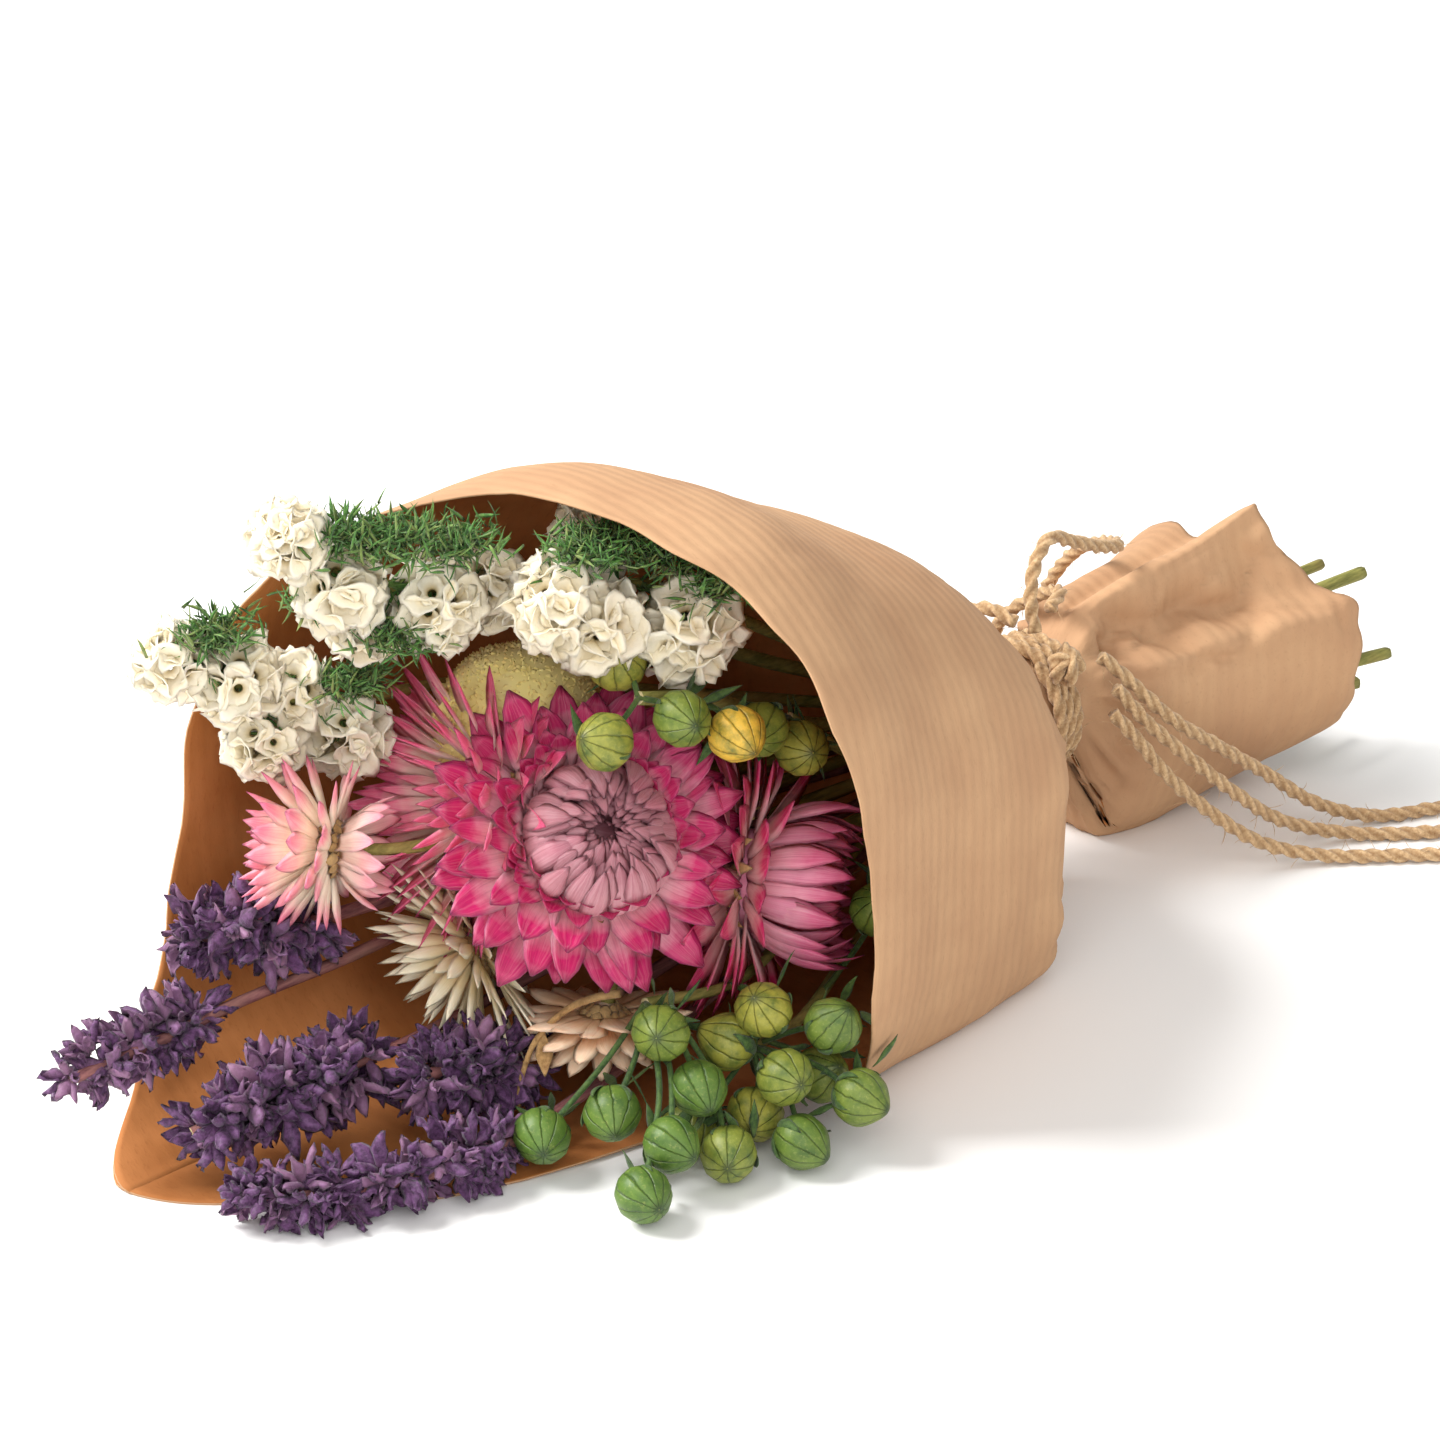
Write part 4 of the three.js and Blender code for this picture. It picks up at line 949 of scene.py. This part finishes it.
def growStrawflower(name, flower):
    dice = np.random.default_rng(flower["seed"])
    heap = Heap()
    layBracts(heap, flower, dice)
    radius, height = flower["core"]
    at, face = np.array(flower["at"], float), unit(flower["face"])
    heap.skin(domeRows(at, face, radius * 0.9, height, flower["back"] * 0.8), tint=0.7, age=0.02)
    # small tan scales clasp the cup, down to the stem
    x, y, up = axesOf(face)
    for k, (count, foot, low) in enumerate(cupRings):
        out = roundAbout(x, y, 2 * np.pi * (np.arange(count) + 0.5 * k) / count)
        grid = petalGrid(count, dice, radius * 0.62, **cupScale)
        scales = setPetals(grid, at + out * radius * foot - up * flower["back"] * low, out, up)
        heap.sheets(scales, 0.18, tint=dice.uniform(0, 1, count), finish=1)
    if "tendril" in flower:  # a dried tendril that hangs from the head, with one small leaf
        tendril = evenSteps(smoothCurve(flower["tendril"]), 0.8)
        heap.tube(tendril, np.linspace(0.62, 0.3, len(tendril)), 8, tint=0.5, finish=1)
        half = len(tendril) // 2
        hang, turned = np.array([[-0.2, -0.3, -0.9]]), np.array([[-0.6, -0.6, 0.4]])
        leaf = setPetals(petalGrid(1, dice, **tendrilLeaf), tendril[half : half + 1], hang, turned)
        heap.sheets(leaf, 0.16, tint=0.6, finish=1)
    full = "strawflower_" + name
    finish = flower["finish"]
    makePiece(full + "_bracts", heap, [bractFinishes[finish], tanLeaf], [full + "_head"])
    growStalk(full, at, face, flower["back"], flower["slot"], dice)


for name, flower in strawflowers.items():
    growStrawflower(name, flower)
print("strawflowers grown")


# billy button: a ball packed with tiny florets

def growBillyButton():
    dice = np.random.default_rng(17)
    at, face, radius = np.array(billyButton["at"], float), unit(billyButton["face"]), billyButton["radius"]
    core, count = radius * 0.955, billyButton["florets"]
    heap = Heap()
    heap.skin(domeRows(at, face, core, core, core, 18, 32), tint=0.9)
    ways = unit(spread(count) + dice.normal(0, 0.012, (count, 3)))
    lump = 0.2 * np.sin(ways[:, 0] * 9) * np.sin(ways[:, 1] * 8 + 1) * np.cos(ways[:, 2] * 7)
    grid = petalGrid(count, dice, **billyButton["floret"])
    tips = setPetals(grid, at + ways * (radius * 0.905 + lump)[:, None], ways, dice.normal(0, 1, (count, 3)))
    # tint is lower in the ball's dips, where the material paints shade
    heap.sheets(tips, 0.25, tint=np.clip(0.5 + lump * 2 + dice.normal(0, 0.2, count), 0, 1))
    makePiece("billy_button_florets", heap, [florets], ["billy_button_head"])
    growStalk("billy_button", at, face, radius, billyButton["slot"], dice)


growBillyButton()
print("billy button grown")


# sprays: a twig bends from the stem to each cluster

def twigRoute(line, target):
    target = np.array(target, float)
    near = line[: max(4, int(len(line) * 0.45))]
    gap = np.linalg.norm(near - target, axis=1)
    start = near[np.argmin(gap + np.abs(gap - 9))]
    middle = (start + target) / 2 + np.array([0.1 * np.linalg.norm(target - start), 0, 0.4])
    return evenSteps(smoothCurve([start, middle, target]), 1.2), unit(target - start)


# statice: clusters of crinkled white calyces on green winged stems

statice = {
    "statice_left": {
        "route": [(-31, 40, 62), (-18, 36, 55), (10, 33, 50), (50, 22, 38)], "slot": 8, "seed": 41,
        "tufts": [(-35, 43, 64, 6), (-27, 39, 60, 6.5), (-19, 38, 56, 6.5), (-25, 37, 51, 6), (-13, 34, 49, 6.5)],
        "greens": [(-30.5, 39, 67.5), (-14, 32, 58)],
    },
    "statice_top": {
        "route": [(-24, 27, 80), (-10, 24, 72), (14, 23, 64), (52, 17, 44)], "slot": 9, "seed": 42,
        "tufts": [(-28, 27, 84, 6), (-20, 26, 75, 7), (-9, 20, 71, 7), (-14, 28, 68, 6.5), (1, 21, 70, 6)],
        "greens": [(-21, 23.5, 83), (-15, 20, 82), (-8, 17, 80), (-20, 29, 73), (-14, 22, 68)],
    },
    "statice_right": {
        "route": [(4, 5, 71), (14, 7, 71), (30, 9, 62), (60, 10.7, 43)], "slot": 3, "seed": 43,
        "tufts": [(-1, 6, 73, 7), (5, 4, 69, 7), (15, -2, 67, 7.5), (12, 13, 76, 6.5)],
        "greens": [(3, 5, 79.5), (9, 4, 79), (15, 2, 77), (17, -5, 74)],
    },
}
calyx = {
    "perTuft": 20, "length": 3.3, "rim": 3.3, "throat": 0.9, "thick": 0.14, "mesh": (7, 28),
    "corolla": 0.62,  # the size of the crumpled corolla inside it
    "tuftRadius": 6.5,  # where a calyx has its full size
    "twig": 0.55,
}
wing = {"perTwig": 40, "perGreen": 260, "thick": 0.1}  # thin scale leaves along the twigs and where the wings end
wingLeaf = {"length": 3.4, "width": 0.5, "curl": 30, "cup": 40, "twist": 40, "point": 1, "waist": 0.9, "rows": 6,
            "columns": 3, "scatter": 12}


def calyxGrid(count, dice):  # ruffled funnels, opening along their first axis
    rows, columns = calyx["mesh"]
    t = np.linspace(0, 1, rows)[None, :, None]
    turn = np.linspace(0, 2 * np.pi, columns, endpoint=False)[None, None]
    phase = dice.uniform(0, 2 * np.pi, (4, count, 1, 1))
    size = dice.uniform(0.8, 1.15, (count, 1, 1))
    ruffle = 0.15 * np.cos(3 * turn + phase[0]) + 0.13 * np.cos(5 * turn + phase[1])
    ruffle = ruffle + 0.09 * np.cos(9 * turn + phase[2])
    squash = 1 + 0.25 * np.cos(2 * turn + phase[3])
    reach = size * (calyx["throat"] + (calyx["rim"] - calyx["throat"]) * t**1.2 * (1 + ruffle * t**1.5) * squash)
    dent = 0.13 * np.cos(4 * turn + phase[2]) + 0.09 * np.cos(7 * turn + phase[3]) + 0.05 * np.cos(2 * turn)
    along = size * calyx["length"] * (t - 0.24 * t**3 - dent * t**3)
    return np.stack([along, reach * np.cos(turn), reach * np.sin(turn)], -1)


def growStatice(name, spray):
    dice = np.random.default_rng(spray["seed"])
    heap = Heap()
    line = growStem(heap, spray["route"], spray["slot"], dice, finish=2, cut=3)
    leafAt, leafWay = [], []
    for x, y, z, radius in spray["tufts"]:
        twig, away = twigRoute(line, (x, y, z))
        heap.tube(twig, calyx["twig"], 6, tint=0.4, finish=1)
        ways = unit(spread(calyx["perTuft"]) + dice.normal(0, 0.12, (calyx["perTuft"], 3)) + away * 0.3)
        origin = np.array([x, y, z]) - away * 0.4 + ways * radius * 0.4
        for size in (1, calyx["corolla"]):
            grid = calyxGrid(len(ways), dice) * (radius / calyx["tuftRadius"] * size)
            placed = setPetals(grid, origin + ways * (1 - size), ways, dice.normal(0, 1, ways.shape))
            heap.sheets(placed, calyx["thick"], closed=True, tint=dice.uniform(0, 1, len(ways)))
        count = wing["perTwig"]
        leafAt += [twig[int(k)] for k in dice.uniform(0, len(twig) - 1, count)]
        leafWay += list(unit(dice.normal(0, 1, (count, 3)) + away * 0.7))
    for place in spray["greens"]:
        count = wing["perGreen"]
        leafAt += list(np.array(place) + dice.normal(0, 1, (count, 3)) * [2.6, 2.2, 1.1])
        leafWay += list(unit(dice.normal(0, 1, (count, 3)) + np.array([-0.4, -0.5, 0.7])))
    leafAt, leafWay = np.array(leafAt), np.array(leafWay)
    leaves = setPetals(petalGrid(len(leafAt), dice, **wingLeaf), leafAt, leafWay, dice.normal(0, 1, leafWay.shape))
    heap.sheets(leaves, wing["thick"], tint=dice.uniform(0, 1, len(leafAt)), finish=1)
    makePiece(name + "_spray", heap, [calyxWhite, mossGreen, oliveStem, pith], [name])


for name, spray in statice.items():
    growStatice(name, spray)
print("statice grown")


# larkspur: wrinkled purple florets up a rosy stem

larkspur = {
    "larkspur_tip": {
        "route": [(-62, 34, 16), (-50, 31, 18), (-38, 29, 20), (-20, 27, 21), (20, 27, 22)], "slot": 18, "seed": 51,
        "spike": [(-60, 34, 16, 3), (-52, 32, 18, 4), (-44, 30, 19, 5)],
    },
    "larkspur_back": {
        "route": [(-40, 36, 28), (-28, 31, 27), (-10, 30, 25), (30, 26, 25)], "slot": 7, "seed": 52,
        "spike": [(-38, 35, 28, 4.5), (-31, 32, 28, 6), (-24, 30, 26, 5.5)],
    },
    "larkspur_middle": {
        "route": [(-52, 22, 9), (-40, 18, 12), (-24, 15, 13), (10, 16, 14), (60, 12, 20)], "slot": 5, "seed": 53,
        "spike": [(-50, 21, 9, 4), (-43, 19, 11, 5.5), (-35, 17, 12, 6), (-27, 16, 12, 5.5)],
    },
    "larkspur_inner": {
        "route": [(-24, 8, 12), (-14, 7, 10), (4, 9, 9), (40, 9, 14)], "slot": 17, "seed": 54,
        "spike": [(-23, 8, 12, 4.5), (-16, 7, 10, 5.5), (-9, 7, 8.5, 5)],
    },
    "larkspur_low": {
        "route": [(-54, 12, 4), (-42, 3, 4), (-24, -3, 4.2), (-6, -2, 5.2), (30, 3, 9)], "slot": 16, "seed": 55,
        "spike": [(-52, 11, 4, 3), (-46, 6, 4.2, 4), (-38, 1, 4.4, 4), (-29, -2, 4.8, 4), (-20, -3, 4.8, 3.6)],
    },
}
larkspurFloret = {
    "petals": 5, "length": 5.6, "narrow": 0.62,
    "petal": {"curl": 48, "cup": 92, "twist": 44, "point": 0.4, "waist": 0.35, "rows": 7, "columns": 5, "scatter": 22,
              "ruffle": 0.4},
}


def growLarkspur(name, spray):
    dice = np.random.default_rng(spray["seed"])
    heap = Heap()
    growStem(heap, spray["route"], spray["slot"], dice, finish=1, cut=2)
    spike = np.array(spray["spike"], float)
    steps = np.linspace(0, len(spike) - 1, 3 * len(spike) - 2)
    places = np.stack([np.interp(steps, np.arange(len(spike)), spike[:, k]) for k in range(4)], 1)
    petals = larkspurFloret["petals"]
    for *middle, radius in places:
        count = max(5, round(radius * 1.6))
        ways = unit(spread(count) + dice.normal(0, 0.35, (count, 3)) + np.array([-0.4, 0, 0]))
        base = middle + ways * radius * dice.uniform(0.25, 0.5, (count, 1)) + dice.normal(0, 0.5, (count, 3))
        for way, at in zip(ways, base):
            side, other, _ = axesOf(way)
            around = roundAbout(side, other, 2 * np.pi * np.arange(petals) / petals + dice.uniform(0, 6))
            opening = dice.uniform(0.05, 0.5)
            out = unit(way + around * dice.uniform(0.6, 1.3, (petals, 1)) * opening)
            long = larkspurFloret["length"] * (0.4 + 0.12 * radius) * dice.uniform(0.75, 1.15)
            grid = petalGrid(petals, dice, long, long * larkspurFloret["narrow"], **larkspurFloret["petal"])
            placed = setPetals(grid, np.broadcast_to(at, (petals, 3)), out, around)
            keepAbove(placed, 0.25 + 0.1 * dice.uniform(size=placed.shape[:3]))
            heap.sheets(placed, 0.16, tint=np.clip(dice.uniform(0, 0.7) + dice.uniform(0, 0.35, petals), 0, 1))
    makePiece(name + "_spray", heap, [larkspurPetal, rosyStem, pith], [name])


for name, spray in larkspur.items():
    growLarkspur(name, spray)
print("larkspur grown")


# flax: round pointed pods, each in five green sepals, on thin stalks

flax = {
    "flax_upper": {
        "route": [(6, -2, 60), (18, -2, 56), (40, 2, 44)], "slot": 12, "seed": 61,
        "pods": [(7, 3, 63), (-2, -4, 57), (7, -9, 59), (14, -12, 55.5)], "yellow": 3,
    },
    "flax_side": {
        "route": [(34, -2, 48), (44, -3.4, 40), (60, 0, 31.6)], "slot": 13, "seed": 62,
        "pods": [(22.4, -8, 52), (31.3, -7, 46)], "yellow": None,
    },
    "flax_front": {
        "route": [(0, -9, 20), (18, -8, 16), (40, 0, 16)], "slot": 0, "seed": 63,
        "pods": [
            (-3, -15, 19), (-1, -20, 12), (-10, -13, 9), (-9, -23, 8), (-17, -7, 6), (-16, -25, 4.3), (-1, -25.5, 4.3),
        ],
        "yellow": None,
    },
    "flax_low": {
        "route": [(12, -17, 12), (24, -14, 10), (44, -6, 12)], "slot": 15, "seed": 64,
        "pods": [
            (11, -20, 19), (17, -27, 17), (9, -26, 12), (16, -33, 9), (18, -24, 8), (8, -30, 4.3), (0, -17, 4.3),
            (8, -16.5, 14), (8, -21.5, 5), (34, -19, 25),
        ],
        "yellow": None,
    },
}


pod = {
    "diameter": 7.8, "ribs": 10, "stalk": 1.1, "sepals": 5, "leaves": 5,
    "sepal": {"rise": 14, "curl": 88, "cup": 40, "point": 0.9, "waist": 0.5, "rows": 9, "columns": 5, "scatter": 3},
    "leaf": {"length": 6.0, "width": 1.7, "curl": 24, "cup": 36, "twist": 30, "point": 0.95, "waist": 0.3, "rows": 8,
             "columns": 5, "scatter": 12},
}
podSkin = flaxPodSkin(pod["ribs"])


def podRows(at, way, radius, dice):
    x, y, up = axesOf(way)
    slope = np.linspace(-np.pi / 2 + 0.03, np.pi / 2 - 0.02, 16)[:, None]
    turn = np.linspace(0, 2 * np.pi, 30, endpoint=False)[None]
    plump = 1 + 0.022 * np.cos(pod["ribs"] * turn) * np.cos(slope) + 0.03 * np.cos(2 * turn + dice.uniform(0, 6))
    out = radius * 0.97 * np.cos(slope) ** 0.94 * plump
    lift = radius * (np.sin(slope) * 0.93 + 0.24 * np.clip(np.sin(slope), 0, 1) ** 9)
    rows = at + x * (out * np.cos(turn))[..., None] + y * (out * np.sin(turn))[..., None] + up * lift[..., None]
    return keepAbove(rows, 0.02)


def growFlax(name, spray):
    dice = np.random.default_rng(spray["seed"])
    heap = Heap()
    line = growStem(heap, spray["route"], spray["slot"], dice, finish=2, cut=3)
    radius = pod["diameter"] / 2
    for k, place in enumerate(spray["pods"]):
        at = np.array(place, float)
        stalk, away = twigRoute(line, place)
        heap.tube(stalk, pod["stalk"] / 2 * 0.75, 6, tint=0.3, finish=1)
        way = unit(away * 0.5 + np.array([-0.62, -0.62, 0.3]) * dice.uniform(0.2, 1.1) + dice.normal(0, 0.35, 3))
        heap.skin(podRows(at, way, radius, dice), tint=1.0 if k == spray["yellow"] else dice.uniform(0.1, 0.88))
        x, y, up = axesOf(way)
        count = pod["sepals"]
        out = roundAbout(x, y, 2 * np.pi * np.arange(count) / count + dice.uniform(0, 6))
        grid = petalGrid(count, dice, radius * 1.55, radius * 0.62, **pod["sepal"])
        sepals = keepAbove(setPetals(grid, at - up * radius + out * radius * 0.1, out, up), 0.2)
        heap.sheets(sepals, 0.16, tint=dice.uniform(0, 0.6, count), finish=1)
    where = np.repeat(np.array(spray["pods"]), pod["leaves"], 0)
    count = len(where)
    where = where + np.array([4.5, 3.5, -1.0]) + dice.normal(0, 1.4, (count, 3))
    way = unit(dice.normal(0, 1, (count, 3)) + np.array([-0.3, -0.1, 0.3]))
    grid = petalGrid(count, dice, **pod["leaf"])
    leaves = keepAbove(setPetals(grid, where, way, dice.normal(0, 1, way.shape)), 0.2)
    heap.sheets(leaves, 0.14, tint=dice.uniform(0, 0.8, count), finish=1)
    makePiece(name + "_spray", heap, [podSkin, budGreen, oliveStem, pith], [name])


for name, spray in flax.items():
    growFlax(name, spray)
print("flax grown")


# table, light and backdrop

studio = {
    "table": "#f4f3f1",
    "tableHalf": 4.0,  # metres
    "worldStrength": 0.6,
    "key": {"from": (-480, 520, 760), "size": 480, "watts": 17},
    "fill": {"from": (-520, -560, 520), "size": 900, "watts": 5},
}


def areaLight(name, light):
    data = bpy.data.lights.new(name, "AREA")
    data.size = light["size"] * metre
    data.energy = light["watts"]
    lamp = bpy.data.objects.new(name, data)
    lamp.location = Vector(boxMiddle + np.array(light["from"])) * metre
    lamp.rotation_euler = (Vector(boxMiddle) * metre - lamp.location).to_track_quat("-Z", "Y").to_euler()
    bpy.context.scene.collection.objects.link(lamp)


def makeStudio():
    # painted board: plain matt white
    paint = newFinish("white_matt_table", Base_Color=colour(studio["table"]), Roughness=0.7, Specular_IOR_Level=0.2)[0]
    mesh = bpy.data.meshes.new("table")
    half = studio["tableHalf"]
    mesh.from_pydata([(-half, -half, 0), (half, -half, 0), (half, half, 0), (-half, half, 0)], [], [(0, 1, 2, 3)])
    mesh.materials.append(paint)
    table = bpy.data.objects.new("table", mesh)
    bpy.context.scene.collection.objects.link(table)
    world = bpy.data.worlds.new("studio")
    world.use_nodes = True
    sky = world.node_tree.nodes["Background"]
    sky.inputs["Color"].default_value = (1, 1, 1, 1)
    sky.inputs["Strength"].default_value = studio["worldStrength"]
    bpy.context.scene.world = world
    areaLight("key", studio["key"])
    areaLight("fill", studio["fill"])
    bpy.context.scene.view_settings.view_transform = "Standard"


makeStudio()
print("studio lit")
